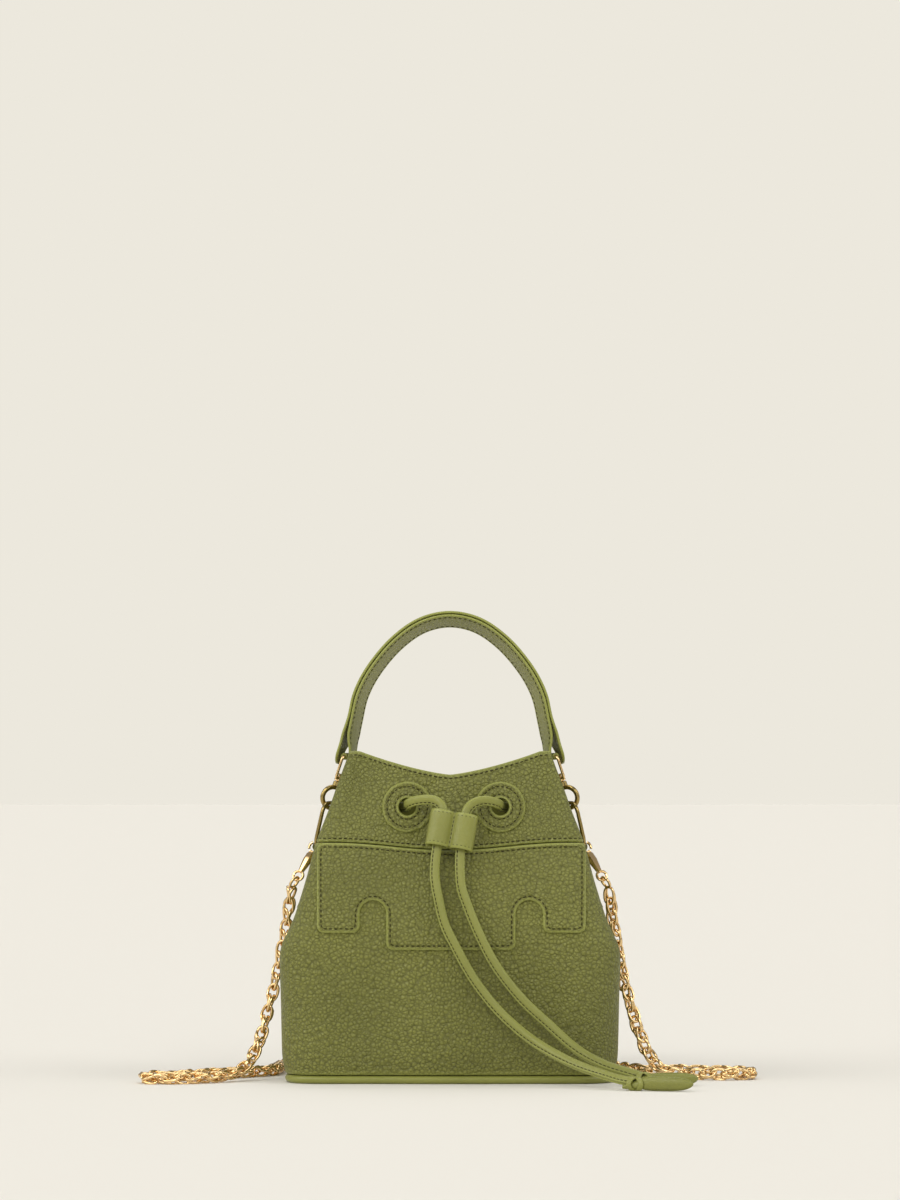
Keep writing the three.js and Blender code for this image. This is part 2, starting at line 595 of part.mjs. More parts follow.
function hookEye() {
  const rise = EYE_TOP.clone().sub(EYE_FOOT);
  const middle = EYE_TOP.clone().lerp(EYE_FOOT, 0.5);
  const up = rise.clone().addScaledVector(eyeAcross, -rise.dot(eyeAcross)).normalize();
  const loop = wireLoop(middle, eyeAcross, up, roundedOutline(10.8, rise.length() / 2, 2.2, 3), 0.8, 6);
  const boss = rod(along(EYE_FOOT, hookAxis, -1.2), along(EYE_FOOT, hookAxis, 2), 2.6, 14);
  return cut(join(loop, boss), rod(along(EYE_FOOT, hookAxis, -3), along(EYE_FOOT, hookAxis, 3), 1.25, 12));
}

function hookBody() {
  const stem = rod(along(EYE_FOOT, hookAxis, -1.8), along(EYE_FOOT, hookAxis, 4), 0.9, 12);
  const head = rod(along(EYE_FOOT, hookAxis, -2.7), along(EYE_FOOT, hookAxis, -1.5), 1.8, 12);
  const barrel = rod(along(EYE_FOOT, hookAxis, 2.3), along(EYE_FOOT, hookAxis, 5.4), 2.5, 14);
  const arc = arcWire(hookCentre, hookAxis, hookSide, HOOK_RADIUS, HOOK_WIRE, radians(196), radians(-42), 16);
  return join(arc, stem, head, barrel);
}

function hookGate() {
  return arcWire(hookCentre, hookAxis, hookSide, HOOK_RADIUS, 1.05, radians(-60), radians(-152), 7);
}

function sideRing() {
  const middle = RING_TOP.clone().lerp(RING_FOOT, 0.5);
  const outline = roundedOutline(RING_HALF_WIDTH, ringRise.length() / 2, RING_CORNER, 5);
  return wireLoop(middle, ringAcross, ringUp, outline, RING_WIRE, 8);
}

// The leather tab: sewn flat on the gusset below, folded round the ring's lower bar above
function sideTab() {
  const [low, high, thick, lift] = [98.5, 131, 2.1, 0.9];
  const shape = new THREE.Shape();
  shape.moveTo(gussetCentre(low) + lift, low);
  shape.lineTo(gussetCentre(115) + lift, 115);
  shape.lineTo(gussetCentre(high) + lift, high);
  shape.lineTo(RING_FOOT.x + 2.4, high + 1);
  shape.lineTo(gussetCentre(115) + lift + thick, 115);
  shape.lineTo(gussetCentre(low) + lift + thick, low);
  const strip = new THREE.ExtrudeGeometry(shape, { depth: 2 * TAB_HALF_WIDTH, bevelEnabled: false })
    .rotateX(Math.PI / 2).translate(0, TAB_HALF_WIDTH, 0);
  const reach = (length, radius, sides) => rod(along(RING_FOOT, ringAcross, -length),
    along(RING_FOOT, ringAcross, length), radius, sides);
  const slot = reach(9, 1.75, 14);
  return cut(join(strip, reach(TAB_HALF_WIDTH, 3, 16)), slot);
}

// ---------------------------------------------------------------- chain strap, right side

// The clasp's claw hangs on the ring's lower bar, in front of the tab, where the bar starts to rise
const CLAW_RADIUS = 3.6;
const CLAW_OFFSET = 5.7;
const CLASP_LENGTH = 20.5;
const barRise = Math.asin((CLAW_OFFSET - (RING_HALF_WIDTH - RING_CORNER)) / RING_CORNER);
const clawNormal = ringAcross.clone().multiplyScalar(Math.cos(barRise))
  .addScaledVector(ringUp, Math.sin(barRise));
const claspAxis = vec(0.4, -0.05, -0.89);
claspAxis.addScaledVector(clawNormal, -claspAxis.dot(clawNormal)).normalize();
const claspSide = vec(0, 0, 0).crossVectors(clawNormal, claspAxis);
const clawCentre = RING_FOOT.clone().addScaledVector(ringAcross, CLAW_OFFSET)
  .addScaledVector(ringUp, RING_CORNER * (1 - Math.cos(barRise))).addScaledVector(claspAxis, 1.1);
const CLASP_FOOT = clawCentre.clone().addScaledVector(claspAxis, CLASP_LENGTH);
const CHAIN_WIDTH = 6.4;

function claspBody() {
  const shoulder = along(clawCentre, claspAxis, CLAW_RADIUS - 0.4);
  const waist = along(CLASP_FOOT, claspAxis, -3);
  const body = rod(shoulder, waist, 2.3, 10, 1.7);
  const claw = arcWire(clawCentre, claspAxis, claspSide, CLAW_RADIUS, 0.95, radians(20), radians(-212), 14);
  const eye = wireLoop(along(CLASP_FOOT, claspAxis, -0.6), claspAxis, claspSide, circle(2.9, 16), 0.8, 6);
  return join(body, claw, eye);
}

function claspTrigger() {
  return arcWire(clawCentre, claspAxis, claspSide, CLAW_RADIUS, 0.75, radians(130), radians(54), 6);
}

const END_RING = along(CLASP_FOOT, claspAxis, 3.9);

function chainEndRing() {
  const down = vec(0.5, 0.2, -0.84).normalize();
  const across = clawNormal.clone().addScaledVector(down, -clawNormal.dot(down)).normalize();
  return wireLoop(END_RING, down, across, circle(3.4, 16), 0.8, 6);
}

function addSideHardware() {
  for (const [side, mirror] of [['right', 1], ['left', -1]]) {
    const half = new THREE.Group();
    half.scale.x = mirror;
    group.add(half);
    const pieces = {
      [`hook_eye_${side}`]: [hookEye(), 'gold'],
      [`hook_body_${side}`]: [hookBody(), 'antique'],
      [`hook_gate_${side}`]: [hookGate(), 'antique'],
      [`side_ring_${side}`]: [sideRing(), 'antique'],
      [`side_tab_${side}`]: [sideTab(), 'leather'],
      [`clasp_body_${side}`]: [claspBody(), 'gold'],
      [`clasp_trigger_${side}`]: [claspTrigger(), 'gold'],
      [`chain_end_ring_${side}`]: [chainEndRing(), 'gold'],
      [`handle_loop_${side}`]: [handleLoop(), 'leather'],
    };
    for (const [name, [geometry, finish]] of Object.entries(pieces)) {
      half.add(addPart(name, geometry, finish));
    }
  }
}

// The chain from its right end ring down the side, out over the floor and back, three runs behind
// the bag, and up the left side
const CHAIN_SIDE_RIGHT = [[92, -10.4, 108.9], [94.4, -7, 91], [98, -4.6, 71], [101.2, -4.8, 55],
  [105.6, -5.6, 38.5], [111.5, -7, 21], [119, -9.5, 8.6], [130, -13.5, 3.9], [148, -19, 3.6],
  [163, -21, 3.6], [172.5, -16.5, 3.6], [173.5, -6, 3.6], [164, 2, 3.6], [126, 11, 3.6], [110, 20, 3.6]];
const CHAIN_SIDE_LEFT = [[-104, 20, 3.6], [-118, 3, 3.6], [-134, -12, 3.6], [-152, -28, 3.6],
  [-166, -36, 3.6], [-173.5, -44, 3.6], [-171, -53, 3.6], [-160, -56, 3.6], [-143, -50, 3.8],
  [-128, -38, 4.4], [-117, -24, 8.6], [-110.5, -14, 21], [-105.6, -7.5, 38.5], [-101.2, -4.8, 55],
  [-98, -4.6, 71], [-94.4, -7, 91], [-92, -10.4, 108.9]];
const CHAIN_BEHIND = [[100, 40, 3.6], [88, 62, 3.6], [68, 75, 3.6], [-60, 78, 3.6], [-72, 84, 3.6],
  [-66, 91, 3.6], [66, 95, 3.6], [74, 101, 3.6], [66, 107, 3.6], [-70, 105, 3.6], [-92, 90, 3.6],
  [-99, 66, 3.6], [-101, 42, 3.6]];

function addChain() {
  const curve = curveOf([...CHAIN_SIDE_RIGHT, ...CHAIN_BEHIND, ...CHAIN_SIDE_LEFT]);
  addPart('chain_strap', tube(curve, CHAIN_WIDTH / 2, 72), 'gold');
}

addPanels();
addInside();
addBase();
addOverlays();
addEyelets();
addDrawcord();
addPull('left', vec(101.6, -107.8, 3.7), vec(121, -113, 3.7),
  { long: 12, wide: 7, tall: 7.2 }, { long: 28, wide: 5.4, tall: 7.8 });
addPull('right', vec(107, -76.4, 4.6), vec(128, -72, 3.7),
  { long: 11, wide: 6.6, tall: 7 }, { long: 28, wide: 5.4, tall: 7.6 });
addHandle();
addSideHardware();
addChain();

export default group;
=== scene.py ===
"""The looks of a leather bucket bag with a drawcord, a top handle and a chain strap.

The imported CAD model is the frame. Shapes are worked out in millimetres and turned into metres as
each mesh is made. +X is to the right, the front faces -Y and +Z is up.
"""

import math
import random
from functools import lru_cache

import bmesh
import bpy
from mathutils import Matrix, Quaternion, Vector
from mathutils.geometry import delaunay_2d_cdt


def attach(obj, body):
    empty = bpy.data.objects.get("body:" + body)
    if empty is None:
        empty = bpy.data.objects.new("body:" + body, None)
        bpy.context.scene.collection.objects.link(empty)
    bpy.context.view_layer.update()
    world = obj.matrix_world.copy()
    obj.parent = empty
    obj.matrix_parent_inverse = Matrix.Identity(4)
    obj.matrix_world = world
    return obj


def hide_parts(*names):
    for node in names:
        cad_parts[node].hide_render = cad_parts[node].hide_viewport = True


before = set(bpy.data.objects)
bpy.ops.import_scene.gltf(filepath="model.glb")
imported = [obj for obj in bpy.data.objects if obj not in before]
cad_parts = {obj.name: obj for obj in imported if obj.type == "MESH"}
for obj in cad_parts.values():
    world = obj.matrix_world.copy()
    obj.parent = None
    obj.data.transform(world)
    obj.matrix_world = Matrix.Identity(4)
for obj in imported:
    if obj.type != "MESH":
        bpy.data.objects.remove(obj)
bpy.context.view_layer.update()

MM = 0.001

# ---------------------------------------------------------------- camera

CAMERA_AT = (0, -2.5, 0.165)
CAMERA_TILT = 2.57  # degrees above level
CAMERA_LENS = 128.9


def add_camera():
    data = bpy.data.cameras.new("camera")
    data.lens = CAMERA_LENS
    data.sensor_width = 36
    data.clip_end = 200
    camera = bpy.data.objects.new("camera", data)
    camera.location = CAMERA_AT
    camera.rotation_euler = (math.radians(90 + CAMERA_TILT), 0, 0)
    bpy.context.scene.collection.objects.link(camera)
    bpy.context.scene.camera = camera


# ---------------------------------------------------------------- curves and meshes


def vec(x, y, z):
    return Vector((x, y, z))


def lerp(a, b, t):
    return a + (b - a) * t


def smoothstep(low, high, value):
    t = min(1, max(0, (value - low) / (high - low)))
    return t * t * (3 - 2 * t)


def smooth_through(pairs):
    """A monotone cubic curve through (place, value) pairs."""
    slopes = [(b[1] - a[1]) / (b[0] - a[0]) for a, b in zip(pairs, pairs[1:])]
    tangents = [slopes[0]]
    for before, after in zip(slopes, slopes[1:]):
        level = before * after <= 0
        tangents.append(0 if level else 2 * before * after / (before + after))
    tangents.append(slopes[-1])

    def value(x):
        i = 0
        while i < len(pairs) - 2 and x > pairs[i + 1][0]:
            i += 1
        (x0, y0), (x1, y1) = pairs[i], pairs[i + 1]
        h = x1 - x0
        t = min(1, max(0, (x - x0) / h))
        keep = y0 * (2 * t**3 - 3 * t**2 + 1) + y1 * (3 * t**2 - 2 * t**3)
        return keep + tangents[i] * h * (t**3 - 2 * t**2 + t) + tangents[i + 1] * h * (t**3 - t**2)

    return value


def spline_points(route, step):
    """Points at even distances along a centripetal Catmull-Rom curve through the route."""
    nodes = [Vector(p) for p in route]
    first = nodes[0] * 2 - nodes[1]
    last = nodes[-1] * 2 - nodes[-2]
    nodes = [first, *nodes, last]
    dense = []
    for a, b, c, d in zip(nodes, nodes[1:], nodes[2:], nodes[3:]):
        t1 = (b - a).length ** 0.5
        t2 = t1 + (c - b).length ** 0.5
        t3 = t2 + (d - c).length ** 0.5
        for i in range(24):
            t = lerp(t1, t2, i / 24)
            ab = a.lerp(b, t / t1)
            bc = b.lerp(c, (t - t1) / (t2 - t1))
            cd = c.lerp(d, (t - t2) / (t3 - t2))
            abc = ab.lerp(bc, t / t2)
            bcd = bc.lerp(cd, (t - t1) / (t3 - t1))
            dense.append(abc.lerp(bcd, (t - t1) / (t2 - t1)))
    dense.append(nodes[-2].copy())
    return even_points(dense, step)


def even_points(dense, step, closed=False):
    """The same line with its points at even distances, about one step apart."""
    line = [*dense, dense[0]] if closed else dense
    reach = [0]
    for a, b in zip(line, line[1:]):
        reach.append(reach[-1] + (b - a).length)
    count = max(2, round(reach[-1] / step))
    points = []
    j = 0
    for i in range(count if closed else count + 1):
        place = reach[-1] * i / count
        while j < len(reach) - 2 and reach[j + 1] < place:
            j += 1
        span = reach[j + 1] - reach[j]
        points.append(line[j].lerp(line[j + 1], (place - reach[j]) / span if span else 0))
    return points


def line_length(points):
    return sum((b - a).length for a, b in zip(points, points[1:]))


def tangents_of(points, closed=False):
    count = len(points)
    if closed:
        return [(points[(i + 1) % count] - points[i - 1]).normalized() for i in range(count)]
    return [(points[min(i + 1, count - 1)] - points[max(i - 1, 0)]).normalized() for i in range(count)]


def loft_faces(rings, sides, around=False, ends=True):
    """Faces between rings of points. around joins the last ring to the first one."""
    faces = []
    for r in range(rings if around else rings - 1):
        for s in range(sides):
            a, b = r * sides + s, r * sides + (s + 1) % sides
            c, d = ((r + 1) % rings) * sides + (s + 1) % sides, ((r + 1) % rings) * sides + s
            faces.append((a, b, c, d))
    if ends and not around:
        faces.append(tuple(range(sides))[::-1])
        faces.append(tuple((rings - 1) * sides + s for s in range(sides)))
    return faces


def add_piece(name, points, faces, material, body, stands_for=(), edge=None, sharp=50):
    """A smooth-shaded mesh piece in metres that rides on a body. edge is 0 to 1 for each point."""
    mesh = bpy.data.meshes.new(name)
    mesh.from_pydata([Vector(p) * MM for p in points], [], faces)
    if edge:
        layer = mesh.attributes.new("edge", "FLOAT", "POINT")
        layer.data.foreach_set("value", edge)
    work = bmesh.new()
    work.from_mesh(mesh)
    bmesh.ops.recalc_face_normals(work, faces=work.faces)
    work.to_mesh(mesh)
    work.free()
    mesh.shade_smooth()
    mesh.set_sharp_from_angle(angle=math.radians(sharp))
    mesh.materials.append(material)
    piece = bpy.data.objects.new(name, mesh)
    bpy.context.scene.collection.objects.link(piece)
    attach(piece, body)
    if stands_for:
        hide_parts(*stands_for)
    return piece


def sweep(line, outline, axes):
    """Rings of an outline carried along a line, with two axes for each of its points."""
    rings = []
    for at, (across, normal) in zip(line, axes):
        rings.append([at + across * a + normal * b for a, b in outline])
    return rings


def ellipse(a, b, sides=16):
    turns = [2 * math.pi * (i + 0.5) / sides for i in range(sides)]
    return [(a * math.cos(t), b * math.sin(t)) for t in turns]


def carried_axes(line, start_across, closed=False):
    """Axes across a line that turn with it as little as they can."""
    across = start_across
    axes = []
    for tangent in tangents_of(line, closed):
        across = (across - tangent * across.dot(tangent)).normalized()
        axes.append((across, tangent.cross(across)))
    return axes


def wire(line, radius, closed=False, sides=12):
    """Points and faces of a round wire along a line."""
    start = tangents_of(line, closed)[0].orthogonal()
    axes = carried_axes(line, start, closed)
    rings = sweep(line, ellipse(radius, radius, sides), axes)
    return sum(rings, []), loft_faces(len(rings), sides, closed)


def merged(parts):
    """Several (points, faces) meshes as one."""
    points, faces = [], []
    for some_points, some_faces in parts:
        start = len(points)
        points += some_points
        faces += [tuple(i + start for i in face) for face in some_faces]
    return points, faces


# ---------------------------------------------------------------- materials


def new_material(name):
    material = bpy.data.materials.new(name)
    material.use_nodes = True
    tree = material.node_tree
    return material, tree, tree.nodes["Principled BSDF"]


def node(tree, kind, links=(), **values):
    """A node with its inputs set, and links as (input, socket) pairs."""
    made = tree.nodes.new(kind)
    for key, value in values.items():
        if key in made.inputs:
            made.inputs[key].default_value = value
        else:
            setattr(made, key, value)
    for key, socket in links:
        tree.links.new(socket, made.inputs[key])
    return made


def math_node(tree, operation, *terms):
    made = tree.nodes.new("ShaderNodeMath")
    made.operation = operation
    for place, term in enumerate(terms):
        if isinstance(term, (int, float)):
            made.inputs[place].default_value = term
        else:
            tree.links.new(term, made.inputs[place])
    return made.outputs[0]


def blend_colours(tree, amount, first, second):
    made = tree.nodes.new("ShaderNodeMix")
    made.data_type = "RGBA"
    for place, term in ((0, amount), (6, first), (7, second)):
        if isinstance(term, tuple):
            made.inputs[place].default_value = (*term, 1)
        elif isinstance(term, (int, float)):
            made.inputs[place].default_value = term
        else:
            tree.links.new(term, made.inputs[place])
    return made.outputs[2]


def leather(name, colour, dark, light, grain=2.1, depth=0.85, roughness=0.44, contrast=1.0):
    """Pebbled full-grain leather: grain is the pebble size and depth its height, in mm. contrast is how much
    painted shade darkens the colour in the hollows between the pebbles."""
    material, tree, shader = new_material(name)
    place = node(tree, "ShaderNodeTexCoord").outputs["Object"]
    wander = node(tree, "ShaderNodeTexNoise", [("Vector", place)], Scale=260.0, Detail=2.0)
    bent = node(tree, "ShaderNodeVectorMath", [(0, wander.outputs["Color"])], operation="SCALE")
    bent.inputs["Scale"].default_value = 0.0016
    moved = node(tree, "ShaderNodeVectorMath", [(0, place), (1, bent.outputs[0])], operation="ADD")
    pebble = node(tree, "ShaderNodeTexVoronoi", [("Vector", moved.outputs[0])],
                  feature="SMOOTH_F1", Scale=1000 / grain, Smoothness=0.5)
    wrinkle = node(tree, "ShaderNodeTexNoise", [("Vector", moved.outputs[0])],
                   Scale=620 / grain, Detail=1.0, Distortion=0.8)
    cleft = node(tree, "ShaderNodeTexVoronoi", [("Vector", moved.outputs[0])],
                 feature="DISTANCE_TO_EDGE", Scale=1000 / grain)
    pores = node(tree, "ShaderNodeTexNoise", [("Vector", place)], Scale=1500.0, Detail=1.0)
    tone = node(tree, "ShaderNodeTexNoise", [("Vector", place)], Scale=16.0, Detail=4.0, Roughness=0.55)
    patch = node(tree, "ShaderNodeTexNoise", [("Vector", place)], Scale=90.0, Detail=3.0)
    edge = node(tree, "ShaderNodeAttribute", attribute_name="edge").outputs["Fac"]

    sunk = node(tree, "ShaderNodeMapRange", [("Value", cleft.outputs["Distance"])])
    sunk.inputs["From Max"].default_value = 0.16
    tonal = node(tree, "ShaderNodeMapRange", [("Value", tone.outputs["Fac"])])
    tonal.inputs["From Min"].default_value = 0.36
    tonal.inputs["From Max"].default_value = 0.66
    # Lighter towards the edges: partly real edge wear, partly a painted highlight where the rounded edges
    # catch the light.
    edge_wear_and_highlight = math_node(tree, "MULTIPLY", edge, 0.75)
    mottled = blend_colours(tree, math_node(tree, "MULTIPLY", tonal.outputs[0], 0.5), colour, dark)
    raised = blend_colours(tree, math_node(tree, "MULTIPLY", patch.outputs["Fac"], 0.28), mottled, light)
    grooves = math_node(tree, "SUBTRACT", 1.0, sunk.outputs[0])
    # Painted shade: the colour darkens towards the dark tone in the hollows between the pebbles and along
    # the grooves at their edges.
    painted_crease_shade = math_node(tree, "MULTIPLY", grooves, 0.3 * contrast)
    hollow = math_node(tree, "MULTIPLY_ADD", pebble.outputs["Distance"], 0.8 * contrast, painted_crease_shade)
    grain_with_painted_shade = blend_colours(tree, hollow, raised, dark)
    tree.links.new(blend_colours(tree, edge_wear_and_highlight, grain_with_painted_shade, light), shader.inputs["Base Color"])

    rough = math_node(tree, "MULTIPLY_ADD", patch.outputs["Fac"], 0.16, roughness - 0.08)
    dull = math_node(tree, "MULTIPLY_ADD", grooves, 0.12, rough)
    tree.links.new(math_node(tree, "MULTIPLY_ADD", edge, -0.1, dull), shader.inputs["Roughness"])

    dome = math_node(tree, "MULTIPLY", pebble.outputs["Distance"], -1.0)
    folds = math_node(tree, "MULTIPLY_ADD", wrinkle.outputs["Fac"], 1.3, dome)
    cut = math_node(tree, "MULTIPLY_ADD", sunk.outputs[0], 0.35, folds)
    calm = math_node(tree, "MULTIPLY_ADD", edge, -0.7, 1.0)
    relief = math_node(tree, "MULTIPLY", cut, calm)
    fine = math_node(tree, "MULTIPLY_ADD", pores.outputs["Fac"], 0.06, relief)
    bump = node(tree, "ShaderNodeBump", [("Height", fine)], Strength=1.0, Distance=depth * MM)
    tree.links.new(bump.outputs[0], shader.inputs["Normal"])
    shader.inputs["Sheen Weight"].default_value = 0.03
    shader.inputs["Sheen Roughness"].default_value = 0.5
    shader.inputs["Specular IOR Level"].default_value = 0.42
    return material


def thread(name, colour):
    """Waxed sewing thread with its twist."""
    material, tree, shader = new_material(name)
    place = node(tree, "ShaderNodeTexCoord").outputs["Object"]
    twist = node(tree, "ShaderNodeTexWave", [("Vector", place)], Scale=900.0, Distortion=2.0)
    fuzz = node(tree, "ShaderNodeTexNoise", [("Vector", place)], Scale=1800.0, Detail=2.0)
    pale = tuple(min(1, 1.9 * c) for c in colour)
    mixed = blend_colours(tree, math_node(tree, "MULTIPLY", twist.outputs["Fac"], 0.4), colour, pale)
    tree.links.new(mixed, shader.inputs["Base Color"])
    tree.links.new(math_node(tree, "MULTIPLY_ADD", fuzz.outputs["Fac"], 0.3, 0.5),
                   shader.inputs["Roughness"])
    bump = node(tree, "ShaderNodeBump", [("Height", twist.outputs["Fac"])], Distance=0.06 * MM)
    tree.links.new(bump.outputs[0], shader.inputs["Normal"])
    shader.inputs["Specular IOR Level"].default_value = 0.15
    return material


def gilt(name, colour, roughness):
    """Polished plated metal with faint handling marks."""
    material, tree, shader = new_material(name)
    place = node(tree, "ShaderNodeTexCoord").outputs["Object"]
    marks = node(tree, "ShaderNodeTexNoise", [("Vector", place)], Scale=420.0, Detail=4.0)
    wear = node(tree, "ShaderNodeTexNoise", [("Vector", place)], Scale=60.0, Detail=2.0)
    deep = tuple(0.78 * c for c in colour)
    tree.links.new(blend_colours(tree, wear.outputs["Fac"], colour, deep), shader.inputs["Base Color"])
    tree.links.new(math_node(tree, "MULTIPLY_ADD", marks.outputs["Fac"], 0.08, roughness),
                   shader.inputs["Roughness"])
    bump = node(tree, "ShaderNodeBump", [("Height", marks.outputs["Fac"])], Distance=0.02 * MM)
    tree.links.new(bump.outputs[0], shader.inputs["Normal"])
    shader.inputs["Metallic"].default_value = 1.0
    return material


def woven(name, colour, dark):
    """Plain-weave cotton lining."""
    material, tree, shader = new_material(name)
    place = node(tree, "ShaderNodeTexCoord").outputs["Object"]
    warp = node(tree, "ShaderNodeTexWave", [("Vector", place)], bands_direction="Z", Scale=420.0)
    weft = node(tree, "ShaderNodeTexWave", [("Vector", place)], bands_direction="X", Scale=420.0)
    slub = node(tree, "ShaderNodeTexNoise", [("Vector", place)], Scale=70.0, Detail=4.0)
    threads = math_node(tree, "MAXIMUM", warp.outputs["Fac"], weft.outputs["Fac"])
    mixed = blend_colours(tree, math_node(tree, "MULTIPLY", threads, slub.outputs["Fac"]), dark, colour)
    tree.links.new(mixed, shader.inputs["Base Color"])
    tree.links.new(math_node(tree, "MULTIPLY_ADD", slub.outputs["Fac"], 0.2, 0.7),
                   shader.inputs["Roughness"])
    bump = node(tree, "ShaderNodeBump", [("Height", threads)], Distance=0.15 * MM)
    tree.links.new(bump.outputs[0], shader.inputs["Normal"])
    shader.inputs["Sheen Weight"].default_value = 0.25
    return material


OLIVE = (0.225, 0.229, 0.045)
OLIVE_DARK = (0.105, 0.108, 0.017)
OLIVE_LIGHT = (0.29, 0.31, 0.07)

body_leather = leather("pebbled_leather", OLIVE, OLIVE_DARK, OLIVE_LIGHT)
trim_leather = leather("fine_leather", OLIVE, OLIVE_DARK, OLIVE_LIGHT, grain=1.6, depth=0.12, roughness=0.36,
                       contrast=0.15)
seam_thread = thread("seam_thread", (0.034, 0.031, 0.01))
gold = gilt("polished_gold", (0.95, 0.68, 0.34), 0.04)
antique_gold = gilt("antique_gold", (0.40, 0.30, 0.11), 0.2)
lining_cloth = woven("lining_cloth", (0.42, 0.36, 0.19), (0.22, 0.18, 0.09))

# ---------------------------------------------------------------- the shell's outline

RIGHT_GUSSET, LEFT_GUSSET = 0, 0.5  # places around the shell; the front is at 0.25

LEATHER = 1.6
TRIM = 1.5
PIPING = 2.4  # radius
SHELL_BOTTOM = 5.1
SEAM_CENTRE, SEAM_RISE = 132.6, 4.2
RIM_CENTRE, RIM_RISE, RIM_SIDE_DIP, RIM_SHARPNESS = 175.5, 13.5, 4, 1.3
FACING_BOTTOM = 141
CORNER_STARTS, CORNER_ENDS = 0.5, 0.74  # shares of the way from the front centre to the gusset
VALLEY_HALF_WIDTH = 12
EYELET_X = {"front": (-24.4, 28.8), "back": (-40, 40)}
EYELET_Z = 157
HIDDEN_HOLE = 7.0  # the leather under an eyelet disc is open this far out
STITCH_PITCH = 3.0
STITCH_INSET = 2.3
GUSSET_ROW = 0.11  # share of the way round that the row under the seam takes at a gusset

half_width = smooth_through([(0, 93.4), (6, 95), (16, 96.6), (45, 97.4), (71, 98.6), (77, 97.8),
    (85, 94), (94, 89.6), (107, 85.4), (121, 81.6), (135, 78.2), (155, 70.8), (168, 66.4),
    (180, 62.2), (190, 58.8)])
half_depth = smooth_through([(0, 53.5), (6, 54.6), (16, 56.4), (50, 57.4), (76, 57), (100, 53.5),
    (135, 45), (165, 36), (190, 29)])
gusset_centre = smooth_through([(0, 91.6), (6, 93.2), (16, 94.8), (40, 94.8), (60, 93.4), (76, 91),
    (98, 86), (115, 79), (134, 70), (150, 61.5), (161, 56.5), (175, 51), (190, 47)])
corner_tangent = smooth_through([(0, 26), (70, 23), (100, 17), (135, 13), (165, 11), (190, 10)])
front_bulge = smooth_through([(0, 0.4), (20, 1.6), (60, 2.6), (110, 2.4), (150, 1.6), (190, 1)])

# Soft dents where the leather gathers: x, z, half width, half height and depth
FRONT_DENTS = [(-13, 154, 9, 16, 1.6), (17, 150, 8, 14, 1.4), (2, 160, 6, 22, -1.4),
    (34, 116, 12, 16, 1.6), (-34, 116, 14, 14, 1.4), (0, 98, 20, 14, -0.8), (-44, 46, 15, 34, 2.2),
    (46, 50, 17, 34, 1.9), (0, 40, 22, 30, -0.8), (-72, 44, 12, 30, -0.9), (74, 46, 12, 30, -0.9),
    (-52, 168, 6, 18, 1.3), (55, 168, 6, 18, 1.3), (-66, 112, 10, 18, -0.7), (66, 112, 10, 18, -0.7)]


@lru_cache(maxsize=None)
def section(z):
    """The fixed points of a quarter of the shell's section at height z."""
    depth, middle, tangent = half_depth(z), gusset_centre(z), corner_tangent(z)
    overhang = half_width(z) - middle
    lean = max(0, overhang / math.hypot(overhang, depth))
    corner_x = half_width(z) + tangent * lean / (1 + lean)
    run = math.hypot(corner_x - middle, depth - VALLEY_HALF_WIDTH)
    corner_end = (lerp(corner_x, middle, tangent / run), lerp(depth, VALLEY_HALF_WIDTH, tangent / run))
    turn = (lerp(corner_end[0], middle, 0.6), lerp(corner_end[1], VALLEY_HALF_WIDTH, 0.6))
    return depth, middle, corner_x, corner_x - tangent, corner_end, turn, front_bulge(z)


def bend(a, pull, b, t):
    """A quadratic curve between two points, pulled towards a third."""
    keep = 1 - t
    return tuple(keep * keep * a[k] + 2 * keep * t * pull[k] + t * t * b[k] for k in (0, 1))


def quarter_section(share, z):
    """x and the distance out from the middle plane: share 0 is the front centre, 1 the gusset."""
    depth, middle, corner_x, front_end, corner_end, turn, bulge = section(z)
    if share <= CORNER_STARTS:
        x = front_end * share / CORNER_STARTS
        return x, depth + bulge * math.cos(math.pi * x / (2 * front_end)) ** 2
    if share <= CORNER_ENDS:
        t = (share - CORNER_STARTS) / (CORNER_ENDS - CORNER_STARTS)
        return bend((front_end, depth), (corner_x, depth), corner_end, t)
    t = (share - CORNER_ENDS) / (1 - CORNER_ENDS)
    if t < 0.4:
        return tuple(lerp(corner_end[k], turn[k], t / 0.4) for k in (0, 1))
    return bend(turn, (middle, VALLEY_HALF_WIDTH), (middle, 0), (t - 0.4) / 0.6)


def outline_at(around, z):
    turn = around % 1
    front = turn < 0.5
    half = turn * 2 if front else 2 - turn * 2
    x, out = quarter_section(abs(2 * half - 1), z)
    return (x if half < 0.5 else -x), (-out if front else out)


def dent_at(x, z, front):
    """How far the leather sinks in at this place. The back has the same dents, mirrored and softer."""
    place, share = (x, 1) if front else (-x, 0.7)
    return share * sum(deep * math.exp(-((place - cx) / wide) ** 2 - ((z - cz) / tall) ** 2)
                       for cx, cz, wide, tall, deep in FRONT_DENTS)


def shell_point(around, z, inwards=0):
    """A point of the shell, some way in from its outer face."""
    step = 0.002
    x, y = outline_at(around, z)
    before, after = outline_at(around - step, z), outline_at(around + step, z)
    along = (after[0] - before[0], after[1] - before[1])
    length = math.hypot(*along)
    deep = inwards + (dent_at(x, z, y < 0) if abs(x) < 90 else 0)
    return vec(x + along[1] / length * deep, y - along[0] / length * deep, z)


def around_at(x, z, front=True):
    """The place around the shell of x on the front or back face."""
    low, high = 0.0, 0.5
    for _ in range(22):
        middle = (low + high) / 2
        if outline_at(middle, z)[0] > x:
            low = middle
        else:
            high = middle
    return low if front else 1 - low


def face_point(x, z, proud, front=True):
    return shell_point(around_at(x, z, front), z, -proud)


